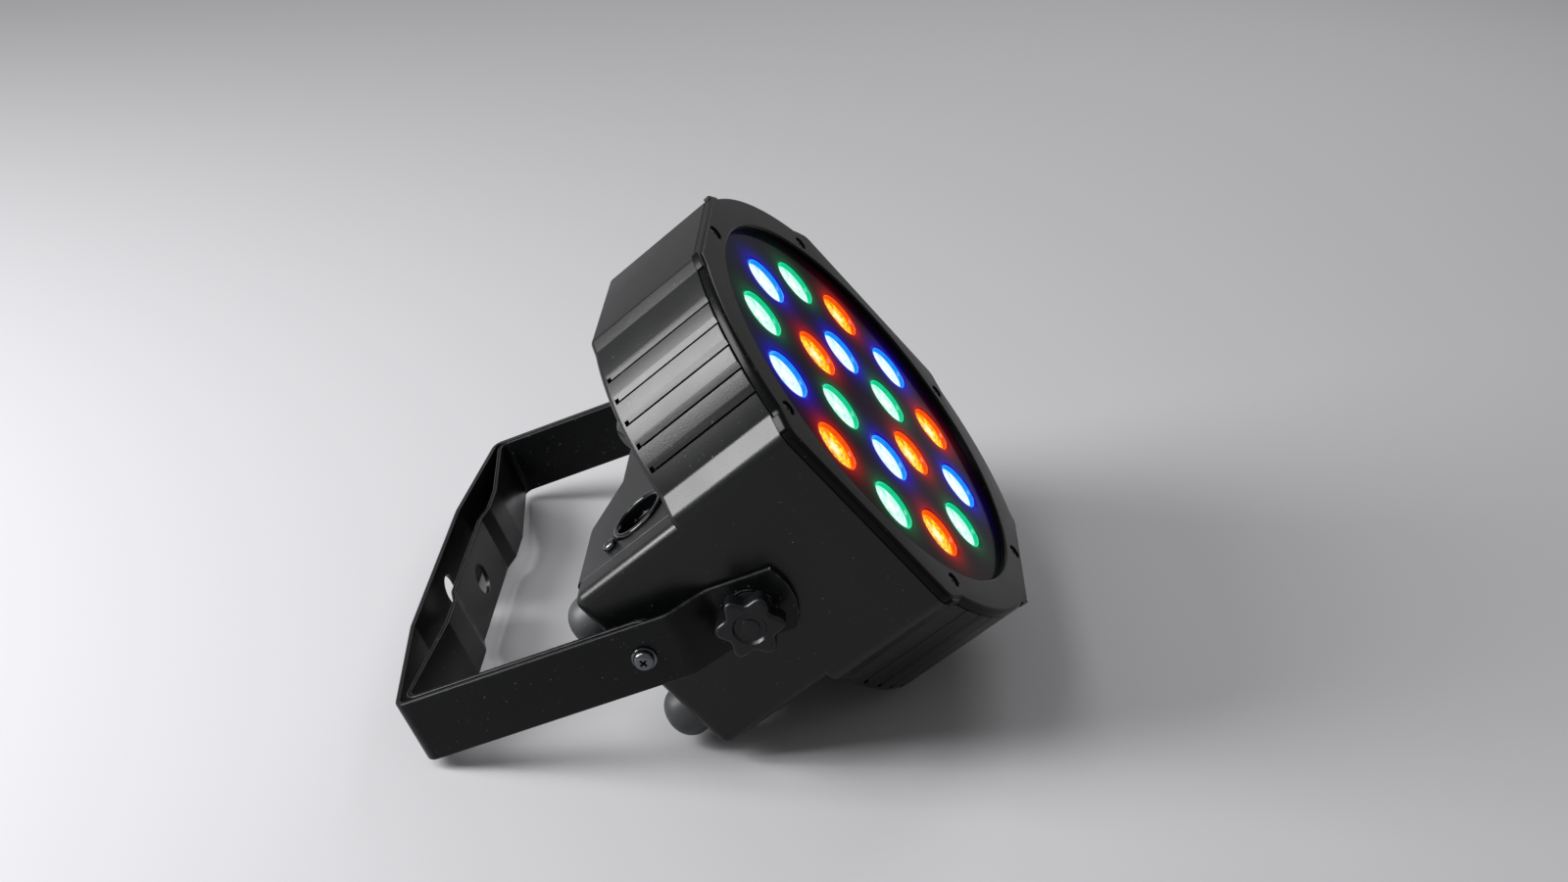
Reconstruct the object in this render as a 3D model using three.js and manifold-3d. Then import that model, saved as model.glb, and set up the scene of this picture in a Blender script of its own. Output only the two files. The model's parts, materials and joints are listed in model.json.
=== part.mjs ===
// LED par can: a flat stage wash light with eighteen coloured LEDs behind round lenses, a moulded
// housing with a connector box on its back, and two nested steel brackets. It is shown resting on
// the rim of its housing and the back of its outer bracket, with the lenses looking upwards.
// Millimetres. The part's frame is +Z up, +X the way the light looks, and Y along the tilt axis.
// The head's own frame has X along the tilt axis, Y towards the label flat, Z out of the lenses.

import * as THREE from "three";
import { mergeVertices } from "three/addons/utils/BufferGeometryUtils.js";
import Module from "manifold-3d";

const wasm = await Module();
wasm.setup();

// Shared clearances
const GAP = 0.3; // between pieces that touch
const OVERRUN = 2; // how far a cutter passes the face that it cuts

// Head outline: a round can cut by four flats, with a straight facet beside each flat
const LENS_DIAMETER = 20.4;
const LENS_OUTER_CIRCLE = 120; // diameter through the outer lenses
const LENS_MARGIN = 12.3; // from an outer lens to the bezel's opening
const PLATE_LAP = 0.8; // of the lens plate behind the bezel, all round
const BEZEL_RING_WALL = 1.6; // of the ring that holds the lens plate's edge
const HEAD_BORDER = 6.3; // from the bezel's ring to a bracket flat
const HEAD_EXCESS = 4; // that the head is higher than wide
const ARC_EXCESS = 5; // that a round stretch stands past the bracket flats
const BEZEL_OPENING = LENS_OUTER_CIRCLE + LENS_DIAMETER + 2 * LENS_MARGIN; // diameter
const PLATE_DIAMETER = BEZEL_OPENING + 2 * PLATE_LAP;
const BEZEL_RING_OUTER = PLATE_DIAMETER + 2 * (GAP + BEZEL_RING_WALL);
const HEAD_WIDTH = BEZEL_RING_OUTER + 2 * HEAD_BORDER; // across the two bracket flats
const HEAD_HEIGHT = HEAD_WIDTH + HEAD_EXCESS; // across the label flat and its opposite
const SIDE_FLAT = HEAD_WIDTH * 0.459; // length of a bracket flat
const LABEL_FLAT = HEAD_WIDTH * 0.319; // length of the label flat
const ARC_RADIUS = HEAD_WIDTH / 2 + ARC_EXCESS; // the round stretches between the facets
const ARC_START = 30.3; // degrees, from the tilt axis to the end of the bracket flat's facet
const ARC_END = 69.3; // degrees, to the end of the label flat's facet
const BODY_DEPTH = 51; // housing, from its back wall to the bezel seam
const BODY_WALL = 3;
const BODY_RIM_ROUND = 2.5; // rounding of the back rim

// Grooves in the round stretches: a step on the side of the bracket flat, then a ramp
const GROOVE_COUNT = 5;
const GROOVE_PITCH = 9.9; // along the round
const GROOVE_MIDDLE = 47.3; // degrees, from the tilt axis to the middle groove's step
const GROOVE_RAMP = 3.6;
const GROOVE_DEPTH = 1.3;
const GROOVE_END = 0.6; // left plain past the rounding of the back rim

// Bezel
const BEZEL_DEPTH = 3.7;
const BEZEL_ROUND = 2.2;
const LENS_RECESS = 3; // from the bezel's front to the lens plate
const BEZEL_RING_DEPTH = 4;
const KNUCKLE_LENGTH = 7; // beside a bracket flat
const LABEL_KNUCKLE_LENGTH = 7.6; // beside the label flat and its opposite
const KNUCKLE_PROUD = 0.9;

// Bezel screws
const BEZEL_SCREW_COUNT = 6;
const BEZEL_SCREW_INSET = 3; // from a bracket flat
const BEZEL_SCREW_CIRCLE = HEAD_WIDTH - 2 * BEZEL_SCREW_INSET; // diameter
const BEZEL_SCREW_HEAD = 5.2;
const BEZEL_SCREW_HEAD_DEPTH = 1.6;
const BEZEL_SCREW_SHANK = 2.8;
const BEZEL_SCREW_LENGTH = 14;
const SCREW_SINK = 0.6; // from the bezel's front to the screw head
const SCREW_BOSS = 8.4; // diameter

// Lens plate and lenses
const PLATE_DEPTH = 3;
const LENS_INNER_CIRCLE = 55.6;
const LENS_OUTER_COUNT = 12;
const LENS_INNER_COUNT = 6;
const LENS_DEPTH = 14; // from the lens plate's front to the foot of a lens
const LENS_SINK = 1.6; // from the lens plate's front to the lens
const LENS_RIM = 2.4;
const LENS_CROWN = 0.6;
const LENS_FOOT = 9;

// LED board and heat sink
const BOARD_BORDER = 10; // past the middles of the outer lenses
const BOARD_DIAMETER = LENS_OUTER_CIRCLE + 2 * BOARD_BORDER;
const BOARD_DEPTH = 1.6;
const EMITTER_SIZE = 3.6;
const EMITTER_DEPTH = 1.4;
const SINK_DEPTH = 3;
const FIN_HEIGHT = 12;
const FIN_THICKNESS = 2;
const FIN_PITCH = 11;
const FIN_COUNT = 7;
const FIN_FIELD = 100; // diameter that the fins fill
const POST_DIAMETER = 8;
const POST_INSET = 5; // from the edge of the heat sink
const POST_CIRCLE = BOARD_DIAMETER - 2 * POST_INSET; // diameter
const POST_COUNT = 4;

// Connector box
const BOX_DEPTH = 48.5; // behind the housing's back wall
const BOX_TOP = 41; // from the tilt axis to its label side
const BOX_BOTTOM = 40.5;
const BOX_ROUND = 2.5;
const CHEEK_THICKNESS = 12;
const COVER_WIDTH = HEAD_WIDTH - 2 * CHEEK_THICKNESS; // between the housing's two cheeks
const COVER_WALL = 2.5;
const VALLEY_DEPTH = 14; // the sunk middle that holds the controls
const VALLEY_MOUTH = 88;
const VALLEY_FLOOR = 36;
const BACK_WINDOW_INSET = 9.5; // from the cover's ends to the hole in the housing's back wall
const BACK_WINDOW_WIDTH = COVER_WIDTH - 2 * BACK_WINDOW_INSET;
const BACK_WINDOW_HEIGHT = 68;
const CHEEK_RIB = 3;

// Rubber feet
const FOOT_DIAMETER = 20;
const FOOT_HEIGHT = 13.5;
const FOOT_ROUND = 7.5;
const FOOT_INSET = 3.5; // from an end of the cover to the middle of a foot
const FOOT_SPAN_X = COVER_WIDTH - 2 * FOOT_INSET;
const FOOT_SPAN_Y = 50.6;
const FOOT_SPIGOT = 5; // diameter
const FOOT_SPIGOT_LENGTH = 6;
const FOOT_BOSS = 10; // diameter

// Data sockets
const DATA_BARREL = 24; // diameter
const DATA_PROUD = 1.2;
const DATA_BODY_DEPTH = 20;
const DATA_CAVITY = 18.8;
const DATA_CAVITY_DEPTH = 15;
const DATA_INSERT = 15.2;
const DATA_FLANGE_WIDTH = 26;
const DATA_FLANGE_HEIGHT = 31;
const DATA_FLANGE_DEPTH = 2;
const DATA_PIN_COUNT = 3;
const DATA_PIN = 2.4;
const DATA_PIN_CIRCLE = 7.4;
const DATA_PIN_LENGTH = 9.5;
const DATA_SCREW_X = 9.5;
const DATA_SCREW_Y = 12;
const SOCKET_INSET = 19.5; // from an end of the cover to the middle of a socket
const DATA_X = COVER_WIDTH / 2 - SOCKET_INSET; // from the middle of the box
const SOCKET_Z = 20; // all sockets, behind the housing's back wall
const DATA_SCREW_HEAD = 5.8;
const DATA_SCREW_HEAD_DEPTH = 2;
const DATA_SCREW_SHANK = 2.8;
const DATA_SCREW_LENGTH = 7;
const LATCH_WIDTH = 4.4;
const LATCH_THICKNESS = 2;
const LATCH_LENGTH = 9;
const LATCH_PROUD = 2.2;
const LATCH_TRAVEL = 1.6;
const LATCH_SEAT = 0.7; // wall left between the latch and the socket's mouth

// Power sockets
const POWER_X = COVER_WIDTH / 2 - SOCKET_INSET; // from the middle of the box
const POWER_FLANGE_WIDTH = 31;
const POWER_FLANGE_HEIGHT = 24;
const POWER_FLANGE_DEPTH = 2.2;
const POWER_FLANGE_CORNER = 2.5;
const POWER_BODY_WIDTH = 27;
const POWER_BODY_HEIGHT = 19.4;
const POWER_BODY_DEPTH = 22;
const POWER_MOUTH_WIDTH = 24.2;
const POWER_MOUTH_HEIGHT = 16.4;
const POWER_MOUTH_CORNER = 4.6;
const POWER_MOUTH_DEPTH = 17;
const POWER_BLADE_WIDTH = 4;
const POWER_BLADE_THICKNESS = 2;
const POWER_BLADE_LENGTH = 10;
const POWER_BLADE_SPREAD = 7;
const POWER_BLADE_RISE = 2;
const POWER_SLOT_DEPTH = 14;
const POWER_SLOT_CLEARANCE = 0.4;
const POWER_SHROUD_GAP = 2.2; // round the outlet's insert

// Control panel
const PANEL_WIDTH = 31;
const PANEL_HEIGHT = 62;
const PANEL_FLANGE = 1.5;
const PANEL_PLUG_STEP = 2.1; // the plug is smaller than the flange by this on each side
const PANEL_PLUG_DEPTH = 3.2;
const DISPLAY_WIDTH = 21;
const DISPLAY_HEIGHT = 13;
const DISPLAY_Y = 13;
const DISPLAY_WINDOW_DEPTH = 2;
const BUTTON_DIAMETER = 6.4;
const BUTTON_COLLAR = 8.4;
const BUTTON_COLLAR_DEPTH = 1;
const BUTTON_PROUD = 1.7;
const BUTTON_TRAVEL = 0.8;
const BUTTON_PITCH_X = 13;
const BUTTON_PITCH_Y = 13;
const BUTTON_ROW_Y = -5; // the upper row
const CONTROL_BOARD_RISE = 4; // from the panel's plug to the board
const CONTROL_BOARD_DEPTH = 1.6;
const CONTROL_POST = 3;
const CONTROL_POST_INSET = 2; // from the edge of the plug to the middle of a post
const SWITCH_SIZE = 5;

// Power supply board
const SUPPLY_WIDTH = 68;
const SUPPLY_HEIGHT = 62;
const SUPPLY_DEPTH = 1.6;
const SUPPLY_CLEARANCE = 7.1; // from the control board's connector to this board
const SUPPLY_POST = 6;
const SUPPLY_POST_INSET = 4;
const TRANSFORMER_SIZE = 22;
const TRANSFORMER_HEIGHT = 15;
const CAPACITOR_DIAMETER = 11;
const CAPACITOR_HEIGHT = 13;
const TERMINAL_WIDTH = 20;
const TERMINAL_HEIGHT = 9;
const COMPONENT_MARGIN = 6;

// Outer bracket: one steel strip, cranked in at its ends to meet the head
const STRIP_WIDTH = 26;
const STRIP_THICKNESS = 2;
const BEND_RADIUS = 4; // on the middle line of the strip
const EASY_BEND_RADIUS = 8; // of the shallow bends
const BRACKET_ANGLE = 18.65; // degrees, from the head's axis to the arms, in this pose
const ARM_CLEARANCE = 10.5; // from a bracket flat to the outside of an arm
const BRACKET_SPAN = HEAD_WIDTH + 2 * ARM_CLEARANCE; // across the outside of the arms
const ARM_REACH = 132; // from the tilt axis to the outside corner of the crossbar
const ARM_END = 16; // past the tilt axis
const ARM_END_RISE = 4; // how far the arm's end curves out
const CRANK_START = 12.4; // from the tilt axis
const CRANK_END = 26.4;
const BACK_RISE = 7.3; // how far the crossbar's middle stands behind its corners
const BACK_HALF = 45; // half of the straight middle
const CLAMP_HOLE = 12.6;

// Inner bracket, on the side screws
const STAND_SIDE_GAP = 0.7; // to the outer bracket's arms
const STAND_CORNER_GAP = 0.8; // to the outer bracket's corner, along the arms
const STAND_DIP = 6.3; // how far its crossbar comes towards the head
const STAND_DIP_HALF = 52;
const STAND_STEP_HALF = 36;
const STAND_STEP_END_HALF = 28;
const STAND_STEP = 2.5; // its middle steps back by this
const SIDE_SCREW_AT = 40; // from the tilt axis

// Side screws
const SIDE_SCREW = 4;
const SIDE_HEAD = 7.4;
const SIDE_HEAD_DEPTH = 2.5;
const SIDE_WASHER = 9;
const SIDE_WASHER_DEPTH = 0.9;
const NUT_ACROSS = 7;
const NUT_DEPTH = 3.2;

// Tilt knobs
const KNOB_DIAMETER = 24.8;
const KNOB_VALLEY = 3.2; // depth of the scallops between lobes
const KNOB_LOBES = 6;
const KNOB_TURN = 48.7; // degrees, from the arm's line to the first lobe at rest
const KNOB_DEPTH = 11;
const KNOB_COLLAR = 17; // diameter
const KNOB_COLLAR_DEPTH = 3.6;
const KNOB_ROUND = 1.6;
const KNOB_DISH = 12;
const KNOB_DISH_DEPTH = 1;
const STUD = 6;
const STUD_BITE = 11; // into the head
const WASHER_DIAMETER = 18;
const WASHER_DEPTH = 1;
const PIVOT_BOSS = 20;
const ARM_SEAT = 0.6; // from the head's flat to the arm

// Facet counts
const ARC_STEPS = 5;
const ROUND_STEPS = 2;
const BEND_STEPS = 3;
const LENS_SIDES = 14;
const HOLE_SIDES = 14;
const SMALL_SIDES = 8;
const FINE_SIDES = 6;
const DISC_SIDES = 40;
const KNOB_STEPS = 6;
const END_STEPS = 6;

// Places that follow from the sizes above
const SIDE_X = HEAD_WIDTH / 2;
const LABEL_Y = HEAD_HEIGHT / 2;
const BEZEL_BACK = BODY_DEPTH + GAP;
const FRONT_Z = BEZEL_BACK + BEZEL_DEPTH;
const PLATE_FRONT = FRONT_Z - LENS_RECESS;
const PLATE_BACK = PLATE_FRONT - PLATE_DEPTH;
const LENS_BACK = PLATE_FRONT - LENS_DEPTH;
const BOARD_FRONT = LENS_BACK - GAP - EMITTER_DEPTH;
const BOARD_BACK = BOARD_FRONT - BOARD_DEPTH;
const SINK_FRONT = BOARD_BACK - GAP;
const SINK_BACK = SINK_FRONT - SINK_DEPTH;
const COVER_X = COVER_WIDTH / 2;
const VALLEY_Z = VALLEY_DEPTH - BOX_DEPTH;
const PANEL_FACE = VALLEY_Z - GAP - PANEL_FLANGE;
const PANEL_INNER = VALLEY_Z + PANEL_PLUG_DEPTH;
const BUTTON_INNER = PANEL_INNER + GAP + BUTTON_COLLAR_DEPTH;
const CONTROL_BOARD_Z = PANEL_INNER + CONTROL_BOARD_RISE;
const ARM_X = BRACKET_SPAN / 2 - STRIP_THICKNESS / 2; // middle line of the outer arm
const ARM_END_X = SIDE_X + ARM_SEAT + STRIP_THICKNESS / 2;
const BACK_U = ARM_REACH - STRIP_THICKNESS / 2;
const STAND_X = ARM_X - STRIP_THICKNESS - STAND_SIDE_GAP;
const STAND_U = BACK_U - STRIP_THICKNESS - STAND_CORNER_GAP;
const WASHER_X = ARM_END_X + STRIP_THICKNESS / 2 + GAP;
const KNOB_X = WASHER_X + WASHER_DEPTH + GAP;
const SUPPLY_BACK = CONTROL_BOARD_Z + CONTROL_BOARD_DEPTH + SWITCH_SIZE + SUPPLY_CLEARANCE;
const TURN = Math.PI * 2;

// Materials
function finish(color, roughness, metalness) {
  return new THREE.MeshStandardMaterial({ color, roughness, metalness });
}

const BLACK_SHELL = finish("#26272a", 0.42, 0);
const BLACK_GLOSS = finish("#0c0d10", 0.14, 0);
const BLACK_STEEL = finish("#17181a", 0.5, 0.3);
const BLACK_KNOB = finish("#1c1d1f", 0.35, 0);
const ZINC = finish("#b9bcc0", 0.3, 1);
const RUBBER = finish("#9b9ea3", 0.7, 0);
const BOARD_GREEN = finish("#1d5a3c", 0.55, 0);
const BOARD_WHITE = finish("#e6e8e6", 0.5, 0);
const ALUMINIUM = finish("#a9adb2", 0.4, 1);
const SMOKED = finish("#2a0f10", 0.1, 0);
const BUTTON_GREY = finish("#3a3b3f", 0.5, 0);
const LENS_ROUGHNESS = 0.12;
const LENS_COLOURS = { red: "#ff4a12", green: "#18e07a", blue: "#2a5cff" };

// Makes a manifold solid from a closed geometry.
function solid(geometry) {
  const bare = geometry.clone();
  bare.deleteAttribute("normal");
  bare.deleteAttribute("uv");
  const merged = mergeVertices(bare);
  const vertProperties = new Float32Array(merged.attributes.position.array);
  const triVerts = new Uint32Array(merged.index.array);
  return new wasm.Manifold(new wasm.Mesh({ numProp: 3, vertProperties, triVerts }));
}

// Gives a manifold solid back as a geometry.
function geometryOf(made) {
  const mesh = made.getMesh();
  const geometry = new THREE.BufferGeometry();
  const stride = mesh.numProp;
  const places = new Float32Array(mesh.numVert * 3);
  for (let i = 0; i < mesh.numVert; i += 1) {
    places.set(mesh.vertProperties.subarray(i * stride, i * stride + 3), i * 3);
  }
  geometry.setAttribute("position", new THREE.BufferAttribute(places, 3));
  geometry.setIndex(new THREE.BufferAttribute(mesh.triVerts, 1));
  const flat = geometry.toNonIndexed();
  flat.computeVertexNormals();
  return flat;
}

function joined(first, ...others) {
  return others.reduce((sum, other) => sum.add(other), first);
}

function cut(first, ...tools) {
  return tools.reduce((rest, tool) => rest.subtract(tool), first);
}

// A prism of a shape, along Z from low to high.
function prism(shape, low, high, steps = ARC_STEPS) {
  const geometry = new THREE.ExtrudeGeometry(shape, {
    depth: high - low,
    bevelEnabled: false,
    curveSegments: steps,
  });
  return geometry.translate(0, 0, low);
}

// A prism with both ends rounded by the radius.
function roundedPrism(shape, low, high, radius, steps = ARC_STEPS) {
  const geometry = new THREE.ExtrudeGeometry(shape, {
    depth: high - low - 2 * radius,
    bevelEnabled: true,
    bevelThickness: radius,
    bevelSize: radius,
    bevelOffset: -radius,
    bevelSegments: ROUND_STEPS,
    curveSegments: steps,
  });
  return geometry.translate(0, 0, low + radius);
}

// A round bar along Z.
function bar(diameter, low, high, sides = HOLE_SIDES) {
  const geometry = new THREE.CylinderGeometry(diameter / 2, diameter / 2, high - low, sides);
  return geometry.rotateX(TURN / 4).translate(0, 0, (low + high) / 2);
}

// A round bar along X.
function crossBar(diameter, low, high, sides = HOLE_SIDES) {
  return bar(diameter, low, high, sides).rotateY(TURN / 4);
}

function block(lowX, highX, lowY, highY, lowZ, highZ) {
  const geometry = new THREE.BoxGeometry(highX - lowX, highY - lowY, highZ - lowZ);
  return geometry.translate((lowX + highX) / 2, (lowY + highY) / 2, (lowZ + highZ) / 2);
}

// A block centred on X and Y.
function slab(width, height, low, high) {
  return block(-width / 2, width / 2, -height / 2, height / 2, low, high);
}

// A turned solid about Z, from points of radius and height that go up the outside.
function turned(points, sides) {
  const profile = points.map(([radius, height]) => new THREE.Vector2(radius, height));
  return new THREE.LatheGeometry(profile, sides).rotateX(TURN / 4);
}

function shapeOf(points) {
  return new THREE.Shape(points.map(([x, y]) => new THREE.Vector2(x, y)));
}

// A rectangle with its corners cut off or rounded.
function rectangle(width, height, corner, rounded = false) {
  const x = width / 2;
  const y = height / 2;
  if (!rounded) {
    return shapeOf([
      [x, corner - y],
      [x, y - corner],
      [x - corner, y],
      [corner - x, y],
      [-x, y - corner],
      [-x, corner - y],
      [corner - x, -y],
      [x - corner, -y],
    ]);
  }
  const shape = new THREE.Shape();
  shape.absarc(x - corner, y - corner, corner, 0, TURN / 4, false);
  shape.absarc(corner - x, y - corner, corner, TURN / 4, TURN / 2, false);
  shape.absarc(corner - x, corner - y, corner, TURN / 2, TURN * 3 / 4, false);
  shape.absarc(x - corner, corner - y, corner, TURN * 3 / 4, TURN, false);
  return shape;
}

function polar(radius, angle) {
  return [radius * Math.cos(angle), radius * Math.sin(angle)];
}

// A facet's line, through a flat's corner and the end of a round stretch: the angle that the
// facet looks in, its distance out, and the two ends' places along it.
function facetLine([x, y], end) {
  const [endX, endY] = polar(ARC_RADIUS, THREE.MathUtils.degToRad(end));
  const angle = Math.atan2(x - endX, endY - y) + (x > endX ? 0 : TURN / 2);
  const along = ([px, py]) => py * Math.cos(angle) - px * Math.sin(angle);
  const distance = x * Math.cos(angle) + y * Math.sin(angle);
  return { angle, distance, corner: along([x, y]), end: along([endX, endY]) };
}

const SIDE_FACET = facetLine([SIDE_X, SIDE_FLAT / 2], ARC_START);
const LABEL_FACET = facetLine([LABEL_FLAT / 2, LABEL_Y], ARC_END);

// The head's outline, taken in by an inset all round.
function headOutline(inset) {
  const x = SIDE_X - inset;
  const y = LABEL_Y - inset;
  const radius = ARC_RADIUS - inset;
  const side = SIDE_FACET.distance - inset;
  const label = LABEL_FACET.distance - inset;
  const sideY = (side - x * Math.cos(SIDE_FACET.angle)) / Math.sin(SIDE_FACET.angle);
  const labelX = (label - y * Math.sin(LABEL_FACET.angle)) / Math.cos(LABEL_FACET.angle);
  const start = SIDE_FACET.angle - Math.acos(side / radius);
  const end = LABEL_FACET.angle + Math.acos(label / radius);
  const shape = new THREE.Shape();
  shape.moveTo(x, -sideY);
  shape.lineTo(x, sideY);
  shape.absarc(0, 0, radius, start, end, false);
  shape.lineTo(labelX, y);
  shape.lineTo(-labelX, y);
  shape.absarc(0, 0, radius, TURN / 2 - end, TURN / 2 - start, false);
  shape.lineTo(-x, sideY);
  shape.lineTo(-x, -sideY);
  shape.absarc(0, 0, radius, TURN / 2 + start, TURN / 2 + end, false);
  shape.lineTo(-labelX, -y);
  shape.lineTo(labelX, -y);
  shape.absarc(0, 0, radius, TURN - end, TURN - start, false);
  return shape;
}

// The four places at these distances from the middle.
function corners(x, y) {
  return [[x, y], [-x, y], [-x, -y], [x, -y]];
}

// The places round a circle where a pattern repeats, one way round or the other.
function around(count, diameter, first, way = 1) {
  const turn = (way * TURN) / count;
  return Array.from({ length: count }, (_, i) => polar(diameter / 2, first + i * turn));
}

const BEZEL_SCREW_PLACES = around(BEZEL_SCREW_COUNT, BEZEL_SCREW_CIRCLE, TURN / 12);
const POST_PLACES = around(POST_COUNT, POST_CIRCLE, TURN / 8);
const FOOT_PLACES = corners(FOOT_SPAN_X / 2, FOOT_SPAN_Y / 2);
const SUPPLY_PLACES = corners(
  SUPPLY_WIDTH / 2 - SUPPLY_POST_INSET,
  SUPPLY_HEIGHT / 2 - SUPPLY_POST_INSET,
);
const CONTROL_POST_PLACES = corners(
  PANEL_WIDTH / 2 - PANEL_PLUG_STEP - CONTROL_POST_INSET,
  PANEL_HEIGHT / 2 - PANEL_PLUG_STEP - CONTROL_POST_INSET,
);

// One groove of a round stretch, as a cutter along the housing.
function groove(index, flipX, flipY) {
  const middle = THREE.MathUtils.degToRad(GROOVE_MIDDLE);
  const step = (index - (GROOVE_COUNT - 1) / 2) * (GROOVE_PITCH / ARC_RADIUS);
  const angle = middle + step;
  const outside = ARC_RADIUS + OVERRUN;
  const corners = [
    polar(ARC_RADIUS - GROOVE_DEPTH, angle),
    polar(outside, angle),
    polar(outside, angle + GROOVE_RAMP / ARC_RADIUS),
    polar(ARC_RADIUS, angle + GROOVE_RAMP / ARC_RADIUS),
  ];
  const points = corners.map(([x, y]) => [x * flipX, y * flipY]);
  if (flipX * flipY < 0) {
    points.reverse();
  }
  return prism(shapeOf(points), BODY_RIM_ROUND + GROOVE_END, BODY_DEPTH + OVERRUN);
}

// The low and the high end of a stretch along X, on one side of the middle.
function sided(side, inner, outer) {
  return side > 0 ? [inner, outer] : [-outer, -inner];
}

// The moulded housing: a shallow drum with two cheeks behind it that carry the tilt axis.
function mainHousing() {
  const front = BODY_DEPTH + 2 * BODY_RIM_ROUND;
  const reach = 2 * (ARC_RADIUS + OVERRUN);
  let made = solid(roundedPrism(headOutline(0), 0, front, BODY_RIM_ROUND));
  made = cut(
    made,
    solid(slab(reach, reach, BODY_DEPTH, front + OVERRUN)),
    solid(prism(headOutline(BODY_WALL), BODY_WALL, BODY_DEPTH + OVERRUN)),
    solid(slab(BACK_WINDOW_WIDTH, BACK_WINDOW_HEIGHT, -OVERRUN, BODY_WALL + OVERRUN)),
  );
  for (const [x, y] of POST_PLACES) {
    const post = bar(POST_DIAMETER, BODY_WALL / 2, SINK_BACK - GAP, SMALL_SIDES);
    made = joined(made, solid(post.translate(x, y, 0)));
  }
  const core = solid(prism(headOutline(BODY_WALL / 2), BODY_WALL / 2, BODY_DEPTH));
  for (const [x, y] of BEZEL_SCREW_PLACES) {
    const boss = bar(SCREW_BOSS, BODY_WALL / 2, BODY_DEPTH, SMALL_SIDES).translate(x, y, 0);
    const low = BODY_DEPTH - BEZEL_SCREW_LENGTH;
    const hole = bar(BEZEL_SCREW_SHANK + 2 * GAP, low, BODY_DEPTH + OVERRUN, FINE_SIDES);
    made = cut(joined(made, solid(boss).intersect(core)), solid(hole.translate(x, y, 0)));
  }
  for (const side of [-1, 1]) {
    const across = sided(side, COVER_X - OVERRUN, SIDE_X + OVERRUN);
    const bore = crossBar(STUD + 2 * GAP, ...across, SMALL_SIDES);
    made = cut(joined(made, cheek(side)), solid(bore));
  }
  for (const flipX of [-1, 1]) {
    for (const flipY of [-1, 1]) {
      for (let i = 0; i < GROOVE_COUNT; i += 1) {
        made = cut(made, solid(groove(i, flipX, flipY)));
      }
    }
  }
  return made;
}

// One cheek beside the connector cover, hollowed from inside on both sides of a rib.
function cheek(side) {
  const height = BOX_TOP + BOX_BOTTOM;
  const middle = (BOX_TOP - BOX_BOTTOM) / 2;
  const depth = BOX_DEPTH + BODY_WALL;
  const seen = rectangle(depth, height, BOX_ROUND, true);
  const plate = prism(seen, ...sided(side, COVER_X, SIDE_X), ROUND_STEPS).rotateY(TURN / 4);
  plate.translate(0, middle, depth / 2 - BOX_DEPTH);
  const edge = rectangle(2 * SIDE_X, height, BOX_ROUND, true);
  const rounding = prism(edge, -BOX_DEPTH, BODY_WALL, ROUND_STEPS).translate(0, middle, 0);
  const pocket = sided(side, COVER_X - OVERRUN, SIDE_X - BODY_WALL);
  const back = BODY_WALL - BOX_DEPTH;
  const upper = block(...pocket, CHEEK_RIB / 2, BOX_TOP - BODY_WALL, back, -BODY_WALL);
  const lower = block(...pocket, BODY_WALL - BOX_BOTTOM, -CHEEK_RIB / 2, back, -BODY_WALL);
  const made = cut(solid(plate).intersect(solid(rounding)), solid(upper), solid(lower));
  return joined(made, solid(crossBar(PIVOT_BOSS, ...sided(side, COVER_X, SIDE_X - BODY_WALL / 2))));
}

// The front ring: it traps the lens plate and is fixed by six screws sunk in its face. Its rear
// ring is notched round the housing's screw bosses.
function frontBezel() {
  const low = BEZEL_BACK - BEZEL_ROUND;
  const reach = 2 * (ARC_RADIUS + OVERRUN);
  let made = solid(roundedPrism(headOutline(0), low - BEZEL_ROUND, FRONT_Z, BEZEL_ROUND));
  made = cut(made, solid(slab(reach, reach, low - BEZEL_ROUND - OVERRUN, BEZEL_BACK)));
  for (const flipX of [-1, 1]) {
    for (const flipY of [-1, 1]) {
      const side = knuckle(SIDE_FACET, KNUCKLE_LENGTH, flipX, flipY);
      made = joined(made, side, knuckle(LABEL_FACET, LABEL_KNUCKLE_LENGTH, flipX, flipY));
    }
  }
  const ringDepth = BEZEL_BACK - BEZEL_RING_DEPTH;
  made = joined(made, solid(bar(BEZEL_RING_OUTER, ringDepth, PLATE_FRONT, DISC_SIDES)));
  const seat = BEZEL_RING_OUTER - 2 * BEZEL_RING_WALL;
  made = cut(
    made,
    solid(bar(seat, ringDepth - OVERRUN, PLATE_FRONT + GAP, DISC_SIDES)),
    solid(bar(BEZEL_OPENING, PLATE_FRONT, FRONT_Z + OVERRUN, DISC_SIDES)),
  );
  const headLow = FRONT_Z - SCREW_SINK - BEZEL_SCREW_HEAD_DEPTH - GAP;
  for (const [x, y] of BEZEL_SCREW_PLACES) {
    const sink = bar(BEZEL_SCREW_HEAD + 2 * GAP, headLow, FRONT_Z + OVERRUN, SMALL_SIDES);
    const low = BEZEL_BACK - OVERRUN;
    const hole = bar(BEZEL_SCREW_SHANK + 2 * GAP, low, FRONT_Z, FINE_SIDES);
    const notch = bar(SCREW_BOSS + 2 * GAP, ringDepth - OVERRUN, BEZEL_BACK, SMALL_SIDES);
    made = cut(made, ...[sink, hole, notch].map((tool) => solid(tool.translate(x, y, 0))));
  }
  return made;
}

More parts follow.
